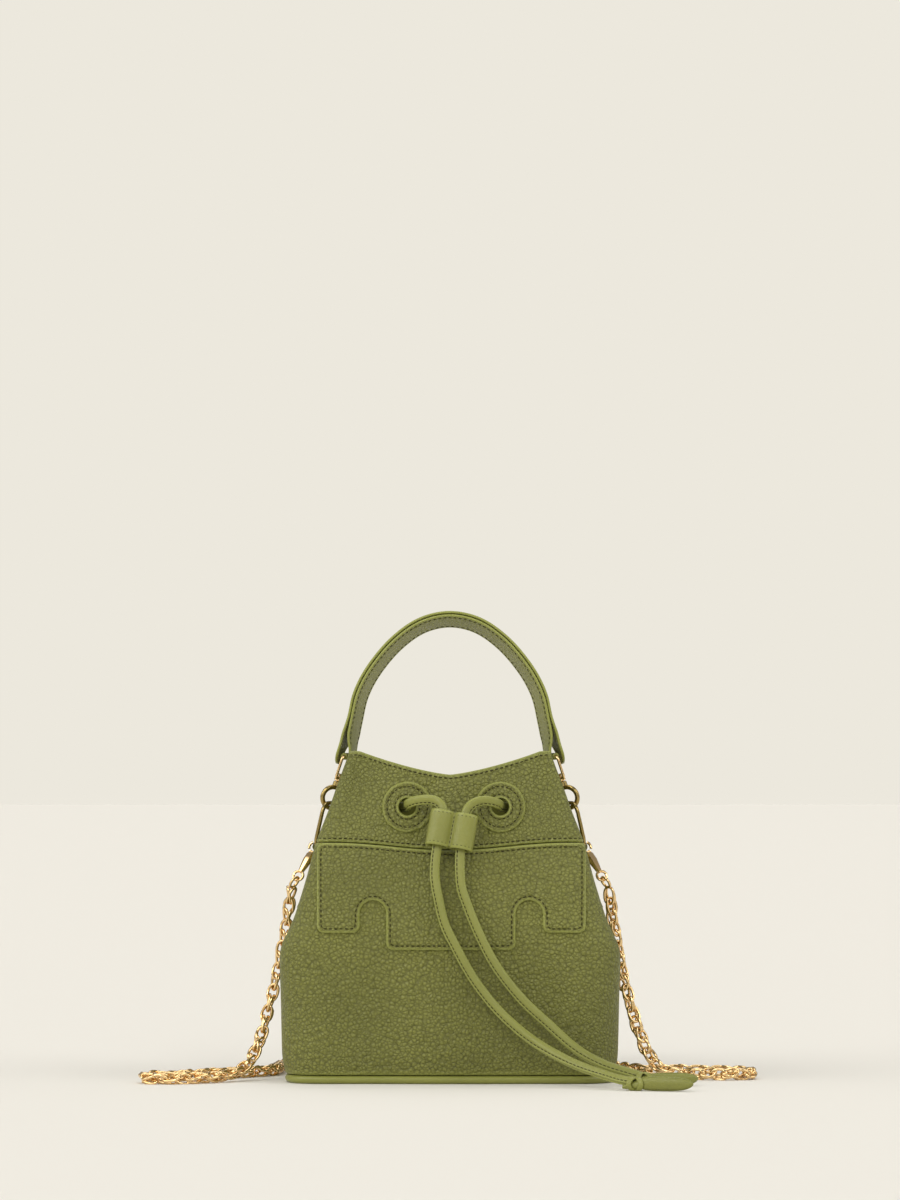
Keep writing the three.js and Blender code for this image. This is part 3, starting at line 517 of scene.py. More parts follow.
def outward_at(around, z):
    """The direction straight out of the shell."""
    level = shell_point(around - 0.003, z) - shell_point(around + 0.003, z)
    upright = shell_point(around, z + 0.5) - shell_point(around, z - 0.5)
    normal = upright.cross(level)
    outwards = shell_point(around, z, -1) - shell_point(around, z)
    if normal.dot(outwards) < 0:
        return normal.normalized() * -1
    return normal.normalized()


def share_of(around):
    """0 at the front or back centre, 1 at a gusset."""
    return abs(2 * ((around * 2) % 1) - 1)


def seam_height(around):
    share = min(share_of(around) / CORNER_STARTS, 1)
    return SEAM_CENTRE + SEAM_RISE * math.sin(math.pi / 2 * share) ** 2


def rim_height(around):
    share = share_of(around)
    rise = min(share / CORNER_STARTS, 1) ** RIM_SHARPNESS
    side = math.sin(math.pi / 2 * max(0, (share - CORNER_ENDS) / (1 - CORNER_ENDS))) ** 2
    return RIM_CENTRE + RIM_RISE * rise - RIM_SIDE_DIP * side


# ---------------------------------------------------------------- leather walls


def wall_loop(around, low, high, near, far, rows, edge_steps=5):
    """The closed cross-section of a wall with rounded edges, and how near each point is to an edge."""
    radius = (far - near) / 2
    middle = near + radius
    loop = [(lerp(low + radius, high - radius, i / rows), near) for i in range(rows + 1)]
    for i in range(1, edge_steps):
        turn = math.pi * i / edge_steps
        loop.append((high - radius + radius * math.sin(turn), middle - radius * math.cos(turn)))
    back = max(4, rows // 3)
    loop += [(lerp(high - radius, low + radius, i / back), far) for i in range(back + 1)]
    for i in range(1, edge_steps):
        turn = math.pi * i / edge_steps
        loop.append((low + radius - radius * math.sin(turn), middle + radius * math.cos(turn)))
    points = [shell_point(around, z, inwards) for z, inwards in loop]
    return points, [1 - smoothstep(0.2, 1.4, min(z - low, high - z)) for z, _ in loop]


def add_wall(name, start, end, columns, rows, low, high, near, far, material, body, stands_for,
             holes=()):
    """A leather wall between two places around the shell. holes are (x, front), at eyelet height."""
    closed = end - start >= 1
    count = columns if closed else columns + 1
    points, edge = [], []
    sides = 0
    for i in range(count):
        around = lerp(start, end, i / columns)
        ring, edge_wear_and_highlight = wall_loop(around, low(around), high(around), near, far, rows)
        points += ring
        edge += edge_wear_and_highlight
        sides = len(ring)
    faces = loft_faces(count, sides, closed)

    def open_at(face):
        centre = sum((points[i] for i in face), vec(0, 0, 0)) / len(face)
        return any((centre.y < 0) == front and math.hypot(centre.x - x, centre.z - EYELET_Z) < HIDDEN_HOLE
                   for x, front in holes)

    faces = [face for face in faces if not (holes and len(face) == 4 and open_at(face))]
    return add_piece(name, points, faces, material, body, stands_for, edge)


def level(z):
    return lambda around: z


def add_shell():
    ends = 0.0012
    for side, start in (("front", 0), ("back", 0.5)):
        add_wall(f"{side}_body", start + ends, start + 0.5 - ends, 190, 52, level(SHELL_BOTTOM),
                 lambda a: seam_height(a) - 0.2, 0, LEATHER, body_leather, "bag",
                 [f"{side}_body_panel"])
        holes = [(x, side == "front") for x in EYELET_X[side]]
        add_wall(f"{side}_top_band", start + ends, start + 0.5 - ends, 190, 24,
                 lambda a: seam_height(a) + 0.2, rim_height, 0, LEATHER, body_leather, "bag",
                 [f"{side}_yoke"], holes)
    add_wall("facing", 0, 1, 260, 14, level(FACING_BOTTOM), lambda a: rim_height(a) - 0.5, LEATHER + 0.15,
             LEATHER + 1.9, trim_leather, "bag", ["mouth_facing"],
             [(x, side == "front") for side in EYELET_X for x in EYELET_X[side]])


def add_lining():
    """The textile lining: a loose bag with soft vertical folds, closed at the bottom."""
    columns, rows = 200, 26
    slack = LEATHER + 2.3
    points = []
    for j in range(rows + 1):
        z = lerp(7.0, FACING_BOTTOM + 1.5, j / rows)
        loose = math.sin(math.pi * j / rows) * 0.9
        for i in range(columns):
            around = i / columns
            fold = math.sin(around * 2 * math.pi * 17 + 0.06 * z) + 0.6 * math.sin(around * 2 * math.pi * 29)
            points.append(shell_point(around, z, slack + loose * (1 + 0.5 * fold)))
    faces = loft_faces(rows + 1, columns, ends=False)
    inner = points[:columns]
    for share in (0.94, 0.7, 0.35):
        points += [vec(p.x * share, p.y * share, 6.9) for p in inner]
    base = (rows + 1) * columns
    for ring, start in enumerate((0, base, base + columns)):
        after = base + ring * columns
        faces += [(start + s, start + (s + 1) % columns, after + (s + 1) % columns, after + s)
                  for s in range(columns)]
    points.append(vec(0, 0, 6.9))
    last = base + 2 * columns
    faces += [(last + s, last + (s + 1) % columns, len(points) - 1) for s in range(columns)]
    add_piece("inner_lining", points, faces, lining_cloth, "bag", ["textile_lining"])


def add_piping():
    """The rolled leather welt round the base."""
    count = 300
    line = []
    for i in range(count):
        outer, inner = shell_point(i / count, SHELL_BOTTOM), shell_point(i / count, SHELL_BOTTOM, 4)
        line.append((outer + (inner - outer).normalized() * (PIPING - 0.2)).xy.to_3d() + vec(0, 0, PIPING))
    points, faces = wire(line, PIPING, closed=True, sides=20)
    add_piece("base_welt", points, faces, trim_leather, "bag", ["base_piping"],
              [0.35] * len(points))


# ---------------------------------------------------------------- stitching

all_stitches = {}  # stitch meshes for each body, gathered by sew


def stitch(centre, along, out, length=2.1, radius=0.37):
    """One stitch: a short thread, sunk at both ends."""
    side = along.cross(out).normalized()
    rings = []
    for share in (-1, -0.8, -0.4, 0, 0.4, 0.8, 1):
        fat = radius * (1 - 0.55 * share**4)
        at = centre + along * (share * length / 2) - out * (0.3 * share**4)
        rings.append([at + side * (fat * math.cos(t)) + out * (fat * 0.8 * math.sin(t))
                      for t in (math.pi * k / 3 for k in range(6))])
    return sum(rings, []), loft_faces(7, 6)


def sew(body, line, outs, closed=False, pitch=STITCH_PITCH, **shape):
    """A row of stitches along a line. outs holds the outward direction at each point of the line."""
    even = even_points(line, pitch, closed)
    count = len(even) if closed else len(even) - 1
    for i in range(count):
        after = even[(i + 1) % len(even)]
        at = even[i].lerp(after, 0.5)
        nearest = min(range(len(line)), key=lambda k: (line[k] - at).length_squared)
        along = (after - even[i]).normalized()
        out = outs[nearest]
        out = (out - along * out.dot(along)).normalized()
        all_stitches.setdefault(body, []).append(stitch(at, along, out, **shape))


def add_stitches():
    """One mesh of stitches for each moving body."""
    for body, parts in all_stitches.items():
        points, faces = merged(parts)
        add_piece(f"stitching_{body}", points, faces, seam_thread, body)


def sew_round(body, height, start=0.0, end=1.0, proud=0.12):
    """A row of stitches round the shell at a height that may change on the way."""
    closed = end - start >= 1
    steps = max(8, round(400 * (end - start)))
    places = [lerp(start, end, i / steps) for i in range(steps if closed else steps + 1)]
    line = [shell_point(a, height(a), -proud) for a in places]
    sew(body, line, [outward_at(a, height(a)) for a in places], closed)


def sew_shell():
    sew_round("bag", lambda a: rim_height(a) - 2.2)
    sew_round("bag", lambda a: seam_height(a) + STITCH_INSET)
    for gusset in (RIGHT_GUSSET, LEFT_GUSSET):
        start = gusset - GUSSET_ROW / 2
        sew_round("bag", lambda a: seam_height(a) - STITCH_INSET, start, start + GUSSET_ROW)


# ---------------------------------------------------------------- overlays

OVERLAY_LEFT, OVERLAY_RIGHT = -75.5, 77
TAB_BOTTOM, CENTRE_BOTTOM, NOTCH_TOP = 85.6, 76, 104
NOTCHES = ((-51.3, -36.2), (37.2, 52.8))
OVERLAY_CORNER, OVERLAY_FLARE = 4, 4


def arc(x, z, radius, start, end, steps=10):
    turns = [math.radians(lerp(start, end, i / steps)) for i in range(steps + 1)]
    return [vec(x + radius * math.cos(t), 0, z + radius * math.sin(t)) for t in turns]


def battlement():
    """The overlay's outline in x and z, anticlockwise from the top right."""
    left, right, corner, flare = OVERLAY_LEFT, OVERLAY_RIGHT, OVERLAY_CORNER, OVERLAY_FLARE
    (a, b), (c, d) = NOTCHES
    count = 60
    top = []
    for i in range(count + 1):
        x = lerp(right - corner, left + corner, i / count)
        top.append(vec(x, 0, seam_height(around_at(x, SEAM_CENTRE + 3)) - 0.3))
    low_right, low_left = top[0].z - corner, top[-1].z - corner
    outline = [*top, *arc(left + corner, low_left, corner, 90, 180)]
    outline += arc(left + corner, TAB_BOTTOM + corner, corner, 180, 270)
    outline += arc(a - flare, TAB_BOTTOM + flare, flare, -90, 0)
    outline += arc((a + b) / 2, NOTCH_TOP - (b - a) / 2, (b - a) / 2, 180, 0, 16)
    outline += arc(b + corner, CENTRE_BOTTOM + corner, corner, 180, 270)
    outline += arc(c - corner, CENTRE_BOTTOM + corner, corner, -90, 0)
    outline += arc((c + d) / 2, NOTCH_TOP - (d - c) / 2, (d - c) / 2, 180, 0, 16)
    outline += arc(d + flare, TAB_BOTTOM + flare, flare, 180, 270)
    outline += arc(right - corner, TAB_BOTTOM + corner, corner, -90, 0)
    outline += arc(right - corner, low_right, corner, 0, 90)
    return even_points(outline, 0.9, closed=True)


def inset(outline, distance):
    """The outline moved inwards. It runs anticlockwise seen from the front."""
    moved = []
    for point, tangent in zip(outline, tangents_of(outline, closed=True)):
        moved.append(point + vec(-tangent.z, 0, tangent.x) * distance)
    return moved


def inside(outline, x, z):
    crossing = False
    for a, b in zip(outline, [*outline[1:], outline[0]]):
        if (a.z > z) != (b.z > z) and x < a.x + (b.x - a.x) * (z - a.z) / (b.z - a.z):
            crossing = not crossing
    return crossing


# How high the overlay stands at each distance in from its edge, with the dip under its stitches
OVERLAY_PROFILE = ((0, -0.4), (0, 0.5), (0.12, 0.95), (0.4, 1.3), (0.8, TRIM), (1.3, 1.5), (1.7, 1.36),
                   (2.05, 1.18), (2.3, 1.1), (2.55, 1.18), (2.9, 1.36), (3.3, 1.45))


def overlay_parts():
    """Flat points (x, height, z), faces and the edge mask of the overlay, for edge wear and a painted edge
    highlight.
    """
    outline = battlement()
    count = len(outline)
    points, edge = [], []
    for distance, proud in OVERLAY_PROFILE:
        points += [vec(p.x, proud, p.z) for p in inset(outline, distance)]
        edge += [1 - smoothstep(0.5, 1.6, distance)] * count
    faces = loft_faces(len(OVERLAY_PROFILE), count, ends=False)
    last = inset(outline, OVERLAY_PROFILE[-1][0])
    middle = []
    spacing = 2.4
    for j in range(int(NOTCH_TOP // spacing) + 60):
        for i in range(-34, 35):
            x, z = (i + 0.5 * (j % 2)) * spacing, CENTRE_BOTTOM + j * spacing * 0.87
            if z < SEAM_CENTRE + SEAM_RISE and inside(last, x, z):
                if min((p.x - x) ** 2 + (p.z - z) ** 2 for p in last) > 1.7:
                    middle.append((x, z))
    flat = [Vector((p.x, p.z)) for p in last] + [Vector(p) for p in middle]
    ring = [(i, (i + 1) % count) for i in range(count)]
    _, _, triangles, origins, _, _ = delaunay_2d_cdt(flat, ring, [], 1, 1e-5)
    start = len(points) - count
    points += [vec(x, OVERLAY_PROFILE[-1][1] + 0.05, z) for x, z in middle]
    edge += [0] * len(middle)
    for triangle in triangles:
        faces.append(tuple(start + origins[i][0] for i in triangle))
    return points, faces, edge


def add_overlays():
    points, faces, edge = overlay_parts()
    row = inset(battlement(), STITCH_INSET)
    for side in ("front", "back"):
        front = side == "front"
        wrapped = [face_point(p.x, p.z, p.y, front) for p in points]
        add_piece(f"{side}_battlement", wrapped, faces, body_leather, "bag",
                  [f"{side}_overlay"], edge)
        line = [face_point(p.x, p.z, 1.22, front) for p in row]
        outs = [outward_at(around_at(p.x, p.z, front), p.z) for p in row]
        sew("bag", line, outs, closed=True)


# ---------------------------------------------------------------- eyelets

# Radius and height of the eyelet disc from its edge in to the hole and through the leather
EYELET_PROFILE = ((14.4, -0.3), (14.4, 0.5), (14.25, 1.0), (13.95, 1.4), (13.5, 1.6), (12.9, 1.55),
    (12.3, 1.35), (11.9, 1.1), (11.6, 1.0), (11.3, 1.1), (10.9, 1.35), (10.2, 1.45), (9, 1.45), (8, 1.4),
    (7.5, 1.2), (7.2, 1.05), (6.9, 1.15), (6.5, 1.6), (6.1, 2.0), (5.7, 2.15), (5.3, 2.05), (5.02, 1.6),
    (4.9, 0.9), (4.9, -0.5), (4.9, -2.4), (4.95, -4.2), (5.2, -4.8), (5.8, -4.9), (7.6, -4.8), (8.4, -4.6),
    (8.5, -4.0))
EYELET_ROWS = ((11.6, 1.12), (7.15, 1.18))


def eyelet_line(x, radius, proud, front, count):
    turns = [2 * math.pi * i / count for i in range(count)]
    places = [(x + radius * math.cos(t), EYELET_Z + radius * math.sin(t)) for t in turns]
    outs = [outward_at(around_at(px, pz, front), pz) for px, pz in places]
    return [face_point(px, pz, proud, front) for px, pz in places], outs


def add_eyelets():
    sides = 72
    for side in ("front", "back"):
        front = side == "front"
        for name, x in zip(("left", "right"), EYELET_X[side]):
            rings = [eyelet_line(x, radius, proud, front, sides)[0] for radius, proud in EYELET_PROFILE]
            edge = []
            for radius, _ in EYELET_PROFILE:
                # Edge wear and painted highlight at the disc's outer rim and round its hole.
                edge_wear_and_highlight = max(smoothstep(13, 14, radius), 1 - smoothstep(5.6, 6.6, radius))
                edge += [edge_wear_and_highlight] * sides
            faces = loft_faces(len(rings), sides, ends=False)
            add_piece(f"{side}_{name}_eyelet", sum(rings, []), faces, body_leather, "bag",
                      [f"{side}_eyelet_{name}"], edge)
            for radius, proud in EYELET_ROWS:
                line, outs = eyelet_line(x, radius, proud, front, 60)
                sew("bag", line, outs, closed=True, pitch=2.7, length=1.9, radius=0.34)


# ---------------------------------------------------------------- slider

SLIDER_BOTTOM = vec(-0.8, -57, 133.5)
SLIDER_TALL, SLIDER_RADIUS, SLIDER_WALL, SLIDER_SPREAD, SLIDER_FLAT = 21, 6.9, 1.7, 6.7, 0.8
SLIDER_TURN = Matrix.Rotation(math.radians(10), 3, "Y") @ Matrix.Rotation(math.radians(-12), 3, "X")


def slider_place(x, y, z):
    return SLIDER_BOTTOM + SLIDER_TURN @ vec(x, y, z)


def slider_tube(side):
    """A flattened tube with thick rolled rims."""
    radius = SLIDER_WALL / 2
    outer, inner = SLIDER_RADIUS, SLIDER_RADIUS - SLIDER_WALL
    loop = [(outer, lerp(radius, SLIDER_TALL - radius, i / 10)) for i in range(11)]
    loop += [(outer - radius + radius * math.cos(t), SLIDER_TALL - radius + radius * math.sin(t))
             for t in (math.pi * k / 5 for k in range(1, 5))]
    loop += [(inner, lerp(SLIDER_TALL - radius, radius, i / 4)) for i in range(5)]
    loop += [(inner + radius - radius * math.cos(t), radius - radius * math.sin(t))
             for t in (math.pi * k / 5 for k in range(1, 5))]
    points, sides = [], 64
    for i in range(sides):
        turn = 2 * math.pi * i / sides
        for r, z in loop:
            hollow = 0.12 * math.exp(-((z - 1.9) / 0.5) ** 2) + 0.12 * math.exp(-((z - 19.1) / 0.5) ** 2)
            reach = r - (hollow if r == outer else 0)
            points.append(slider_place(side * SLIDER_SPREAD + reach * math.cos(turn),
                                       SLIDER_FLAT * reach * math.sin(turn), z))
    # Edge wear and painted highlight on the rolled rims, less over the tube.
    edge = [0.9 if (z < 1.1 or z > SLIDER_TALL - 1.1) else 0.25 for _, z in loop] * sides
    return points, loft_faces(sides, len(loop), around=True), edge


def slider_valley(front):
    """The sewn strip where the two tubes meet."""
    rows, columns = 12, 8
    points = []
    for j in range(rows + 1):
        z = lerp(0.9, SLIDER_TALL - 0.9, j / rows)
        for i in range(columns + 1):
            x = lerp(-3.4, 3.4, i / columns)
            deep = math.sqrt(max(0, 1 - ((SLIDER_SPREAD - abs(x)) / SLIDER_RADIUS) ** 2))
            y = SLIDER_FLAT * SLIDER_RADIUS * deep
            y = max(y, 2.5 + 0.09 * x * x)
            points.append(slider_place(x, -y if front else y, z))
    across = columns + 1
    faces = [(j * across + i, j * across + i + 1, (j + 1) * across + i + 1, (j + 1) * across + i)
             for j in range(rows) for i in range(columns)]
    return points, faces, [0.2] * len(points)


def add_slider():
    parts = [slider_tube(-1), slider_tube(1), slider_valley(True), slider_valley(False)]
    points, faces = merged([part[:2] for part in parts])
    add_piece("slider", points, faces, trim_leather, "slider", ["cord_slider"],
              sum((part[2] for part in parts), []), sharp=60)
    towards_front = SLIDER_TURN @ vec(0, -1, 0)
    valley = [slider_place(0, -2.55, z) for z in (2.2, 10, 18.8)]
    sew("slider", valley, [towards_front] * 3, pitch=2.4, length=1.8, radius=0.3)
    for side in (-1, 1):
        for z in (1.9, SLIDER_TALL - 1.9):
            line, outs = [], []
            for i in range(25):
                turn = math.radians(lerp(-165, -15, i / 24))
                line.append(slider_place(side * SLIDER_SPREAD + (SLIDER_RADIUS - 0.02) * math.cos(turn),
                                         SLIDER_FLAT * (SLIDER_RADIUS - 0.02) * math.sin(turn), z))
                outs.append(SLIDER_TURN @ vec(math.cos(turn), math.sin(turn), 0))
            sew("slider", line, outs, pitch=2.3, length=1.75, radius=0.24)


# ---------------------------------------------------------------- drawcord

CORD_WIDTH, CORD_THICK = 5.8, 3.9
CORD_STEP = 1.2

NECK_LEFT = [(-5.65, -54.9, 144.9), (-4.5, -53.6, 151.5), (-4.6, -52.2, 156.8), (-8.5, -50, 160.4),
    (-14.5, -48.2, 161), (-20.3, -46.2, 160.2), (-23.8, -42.6, 158.6), (-24.6, -37.5, 157.3),
    (-26.2, -32.6, 156.8), (-31, -26.5, 157), (-38.5, -18, 157), (-43, -9, 157.5), (-44.8, 0, 157.5),
    (-44.8, 9, 157.5), (-43, 18, 157), (-40.8, 26, 157), (-40.1, 32, 157), (-40, 37, 157),
    (-38.8, 41.6, 157), (-34.4, 45.2, 157), (-26, 46.4, 157), (-10, 46.8, 157)]
NECK_RIGHT = [(10, 46.8, 157), (26, 46.4, 157), (34.4, 45.2, 157), (38.8, 41.6, 157), (40, 37, 157),
    (40.1, 32, 157), (40.8, 26, 157), (43, 18, 157), (45, 9, 157.5), (45.4, 0, 157.5), (43.8, -9, 157.5),
    (40.5, -18, 157), (35.5, -26, 157), (30.6, -32.6, 156.8), (28.9, -37.5, 157.2), (28, -42.6, 158.4),
    (24.6, -46.2, 159.8), (18.6, -48.2, 160.4), (13, -50, 158.6), (9.6, -52, 154.6), (8.7, -53.6, 149),
    (7.55, -54.9, 142.5)]
TAIL_LEFT = [(-5.75, -55, 144.4), (-7.4, -57, 134.7), (-8.6, -59.2, 124), (-8.6, -60.9, 116),
    (-7.2, -62.8, 107.5), (-3.2, -64.8, 91), (3.6, -65.9, 77), (13.6, -66.2, 59.4), (27.8, -67.2, 41.6),
    (45.9, -72, 26), (67.2, -84, 14.4), (84, -95, 8.6), (94.8, -103.6, 5.8)]
TAIL_RIGHT = [(7.45, -55, 142), (5.8, -57, 132.3), (5.5, -59.6, 121), (6.4, -61.5, 111),
    (9.6, -63, 101.5), (16.4, -64.9, 85), (26, -66, 67), (40, -66.6, 49), (54.4, -67.2, 35.4),
    (71.6, -71, 20.4), (86, -75, 12.6), (100.4, -76.4, 8)]


def folded_outline(width, thick):
    """The section of a strap folded in two: round at the fold, with a groove at the other side."""
    outline = []
    count = 28
    for i in range(count):
        turn = 2 * math.pi * i / count
        c, s = math.cos(turn), math.sin(turn)
        a = math.copysign(abs(c) ** 0.75, c) * width / 2
        b = math.copysign(abs(s) ** 0.8, s) * thick / 2
        groove = 0.75 * math.exp(-((turn - math.pi) / 0.2) ** 2)
        furrow = 0.28 * math.exp(-((a + width * 0.27) / 0.5) ** 2)
        outline.append((a + groove, b * (1 - furrow)))
    return outline


def strap_axes(line, facings):
    """Axes with the strap's flat side turned towards the direction given for each point."""
    axes = []
    for facing, tangent in zip(facings, tangents_of(line)):
        normal = (facing - tangent * facing.dot(tangent)).normalized()
        axes.append((normal.cross(tangent), normal))
    return axes


def add_folded_cord(name, line, facings, stands_for, flip=1):
    """A strap folded in two and sewn. flip is -1 where its fold is on the other side."""
    axes = strap_axes(line, facings)
    outline = [(a * flip, b) for a, b in folded_outline(CORD_WIDTH, CORD_THICK)]
    rings = sweep(line, outline, axes)
    # The cord's rounded sides take the most edge wear and painted highlight.
    edge = [0.95 if abs(a) > CORD_WIDTH * 0.4 else 0.35 for a, _ in outline] * len(rings)
    piece = add_piece(name, sum(rings, []), loft_faces(len(rings), len(outline)), trim_leather, "bag",
                      [stands_for], edge)
    seam = [p + a * (-0.27 * CORD_WIDTH * flip) + n * (CORD_THICK * 0.39) for p, (a, n) in zip(line, axes)]
    sew("bag", seam, [n for _, n in axes], pitch=2.5, length=1.85, radius=0.26)
    return piece


def level_direction(point):
    """The level direction from the bag's upright axis to a point."""
    return vec(point.x, point.y, 0).normalized()


def tail_facings(count):
    """A tail's flat side faces the front on the bag and turns up where it lies on the floor."""
    hanging, lying = vec(0, -1, 0.1), vec(0.25, -0.75, 0.6)
    return [hanging.lerp(lying, smoothstep(0.55, 0.95, i / count)) for i in range(count)]


def add_drawcord():
    neck = spline_points(NECK_LEFT + NECK_RIGHT, CORD_STEP)
    add_folded_cord("neck_cord", neck, [level_direction(p) for p in neck], "drawcord_neck", flip=-1)
    cords = {}
    for side, route, tube in (("left", TAIL_LEFT, -1), ("right", TAIL_RIGHT, 1)):
        line = spline_points([*route, PULLS[side]["knot"] + vec(0, 0, 1.4)], CORD_STEP)
        piece = add_folded_cord(f"cord_{side}", line, tail_facings(len(line)), f"drawcord_tail_{side}")
        cords[side] = (piece, line, slider_place(tube * SLIDER_SPREAD, 0, 0))
    return cords


# ---------------------------------------------------------------- pulls

PULLS = {
    "left": {"knot": vec(101.6, -107.8, 3.7), "tip": vec(121, -113, 3.7), "long": 12, "wide": 7,
             "tall": 7.2, "leaf": (28, 5.4, 7.8)},
    "right": {"knot": vec(107, -76.4, 4.6), "tip": vec(128, -72, 3.7), "long": 11, "wide": 6.6,
              "tall": 7, "leaf": (28, 5.4, 7.6)},
}


def leaf_mesh(pull):
    """A plump leaf of two skins, with the seam standing along its rim."""
    long, wide, tall = pull["leaf"]
    along = pull["tip"] - pull["knot"]
    along.z = 0
    along.normalize()
    across = vec(-along.y, along.x, 0)
    start = pull["knot"] - along
    length = long + pull["long"] / 2 + 1
    rings, sides, steps = [], 36, 40
    edge = []
    for i in range(steps + 1):
        share = i / steps
        body = max(0.02, 1 - abs(2 * share - 1) ** 3.2) ** 0.5
        neck = lerp(0.5, 1, smoothstep(0, 0.22, share))
        swell = body * neck
        centre = start + along * (length * share)
        centre.z = tall / 2 + 0.15 + 0.25 * (1 - swell)
        ring = []
        for s in range(sides):
            turn = 2 * math.pi * s / sides
            rim = abs(math.sin(turn))
            thin = abs(math.cos(turn)) ** 0.8
            seam = 0.35 * math.exp(-((rim - 0.86) / 0.05) ** 2)
            a = math.copysign(thin, math.cos(turn)) * wide / 2 * swell * (1 - seam)
            b = math.sin(turn) * tall / 2 * swell
            ring.append(centre + across * a + vec(0, 0, b))
            edge.append(smoothstep(0.86, 0.97, rim))
        rings.append(ring)
    return sum(rings, []), loft_faces(len(rings), sides), edge, along, across


def knot_mesh(pull, along, across):
    """The strap's end wrapped crosswise round itself."""
    centre = pull["knot"].copy()
    centre.z = max(pull["tall"] / 2 + 0.1, centre.z)
    up = vec(0, 0, 1)
    rings = []
    for i, size in enumerate((0.3, 0.48, 0.6, 0.7, 0.6)):
        share = i / 4
        at = centre + along * (pull["long"] * (share - 0.5)) - vec(0, 0, 1.6 * (1 - share))
        rings.append([at + across * (x * size) + up * (z * size)
                      for x, z in ellipse(pull["wide"] / 2, pull["tall"] / 2, 20)])
    parts = [(sum(rings, []), loft_faces(len(rings), 20))]
    for slant, shift in ((0.75, 0.6), (-0.75, 2.4)):
        line = []
        for i in range(40):
            turn = 2 * math.pi * i / 40
            line.append(centre + along * (shift + slant * 3.4 * math.cos(turn))
                        + across * (0.92 * pull["wide"] / 2 * math.cos(turn))
                        + vec(0, 0, 0.92 * pull["tall"] / 2 * math.sin(turn)))
        tangents = tangents_of(line, closed=True)
        outs = [(p - centre - along * (p - centre).dot(along)).normalized() for p in line]
        loop = []
        for p, tangent, out in zip(line, tangents, outs):
            side = tangent.cross(out).normalized()
            loop.append([p + side * x + out * y for x, y in ellipse(1.45, 0.62, 14)])
        parts.append((sum(loop, []), loft_faces(40, 14, around=True)))
    return merged(parts)


def add_pulls():
    for side, pull in PULLS.items():
        points, faces, edge, along, across = leaf_mesh(pull)
        leaf = add_piece(f"leaf_{side}", points, faces, trim_leather, "bag",
                         [f"pull_leaf_{side}"], edge)
        points, faces = knot_mesh(pull, along, across)
        knot = add_piece(f"knot_{side}", points, faces, trim_leather, "bag",
                         [f"pull_knot_{side}"], [0.4] * len(points))


# ---------------------------------------------------------------- handle

HANDLE_HALF = [(0, 266), (10.5, 264.5), (20, 260.5), (31.4, 251.8), (41, 241), (48, 230.4),
    (52.4, 220.4), (55.2, 208)]
HANDLE_TONGUE = [(59.4, 196), (62.6, 188.4), (64.6, 181.6)]
HANDLE_TAIL = [(57.4, 196), (57.5, 190), (57.9, 186.4)]
HANDLE_WIDTH, HANDLE_PLY, HANDLE_PARTING = 18, 1.5, 0.3
TONGUE_ROUND = 7  # the free end narrows over this length


def handle_line(ending):
    half = HANDLE_HALF + ending
    right = [(x, 0, z) for x, z in half]
    left = [(-x, 0, z) for x, z in half[:0:-1]]
    return spline_points(left + right, 1.5)


def handle_axes(line):
    axes = []
    for at, tangent in zip(line, tangents_of(line)):
        outward = vec(-tangent.z, 0, tangent.x).normalized()
        flare = math.radians(lerp(10, 20, smoothstep(188, 200, at.z)))
        across = vec(0, -math.cos(flare), 0) + outward * math.sin(flare)
        normal = vec(0, math.sin(flare), 0) + outward * math.cos(flare)
        axes.append((across, normal))
    return axes


def ply_outline(width, low, high, outer):
    """A flat strap with rounded edges and a dip under each stitch row on its showing face."""
    radius = (high - low) / 2
    half = width / 2 - radius
    outline = []
    for i in range(9):
        turn = math.pi * (0.5 - i / 8)
        outline.append((half + radius * math.cos(turn), low + radius + radius * math.sin(turn)))
    for sign, face in ((-1, low), (1, high)):
        showing = (sign > 0) == outer
        for i in range(1, 24):
            a = lerp(half, -half, i / 24) * (1 if sign < 0 else -1)
            dip = 0.22 * math.exp(-((abs(a) - width / 2 + 2.2) / 0.5) ** 2) if showing else 0
            crown = 0.12 * (1 - (a / half) ** 2) if showing else 0
            outline.append((a, face + sign * (crown - dip)))
        if sign < 0:
            for i in range(9):
                turn = math.pi * (1.5 - i / 8)
                outline.append((-half + radius * math.cos(turn), low + radius + radius * math.sin(turn)))
    return outline


def add_ply(name, ending, low, outer):
    """One ply of the strap with its two rows of stitches. The outer one has rounded free ends."""
    line = handle_line(ending)
    axes = handle_axes(line)
    step = line_length(line) / (len(line) - 1)
    rings, edge = [], []
    for i, (at, (across, normal)) in enumerate(zip(line, axes)):
        near = min(i, len(line) - 1 - i) * step
        width = HANDLE_WIDTH
        if outer and near < TONGUE_ROUND:
            width *= math.sqrt(max(0.03, 1 - (1 - near / TONGUE_ROUND) ** 2))
        outline = ply_outline(width, low, low + HANDLE_PLY, outer)
        rings.append([at + across * a + normal * b for a, b in outline])
        # Edge wear and painted highlight along the strap's rounded edges.
        edge += [smoothstep(width / 2 - 1.2, width / 2 - 0.3, abs(a)) for a, _ in outline]
    faces = loft_faces(len(rings), len(rings[0]))
    add_piece(f"handle_strap_{name}", sum(rings, []), faces, trim_leather, "handle",
              [f"handle_{name}_ply"], edge, sharp=60)
    face, out = (low + HANDLE_PLY + 0.02, 1) if outer else (low - 0.02, -1)
    for side in (-1, 1):
        reach = side * (HANDLE_WIDTH / 2 - STITCH_INSET)
        row = [at + across * reach + normal * face for at, (across, normal) in zip(line, axes)][4:-4]
        sew("handle", row, [normal * out for _, normal in axes][4:-4], length=1.9, radius=0.26)


def add_handle():
    add_ply("outer", HANDLE_TONGUE, HANDLE_PARTING, True)
    add_ply("inner", HANDLE_TAIL, -HANDLE_PARTING - HANDLE_PLY, False)


# ---------------------------------------------------------------- side hardware, right side

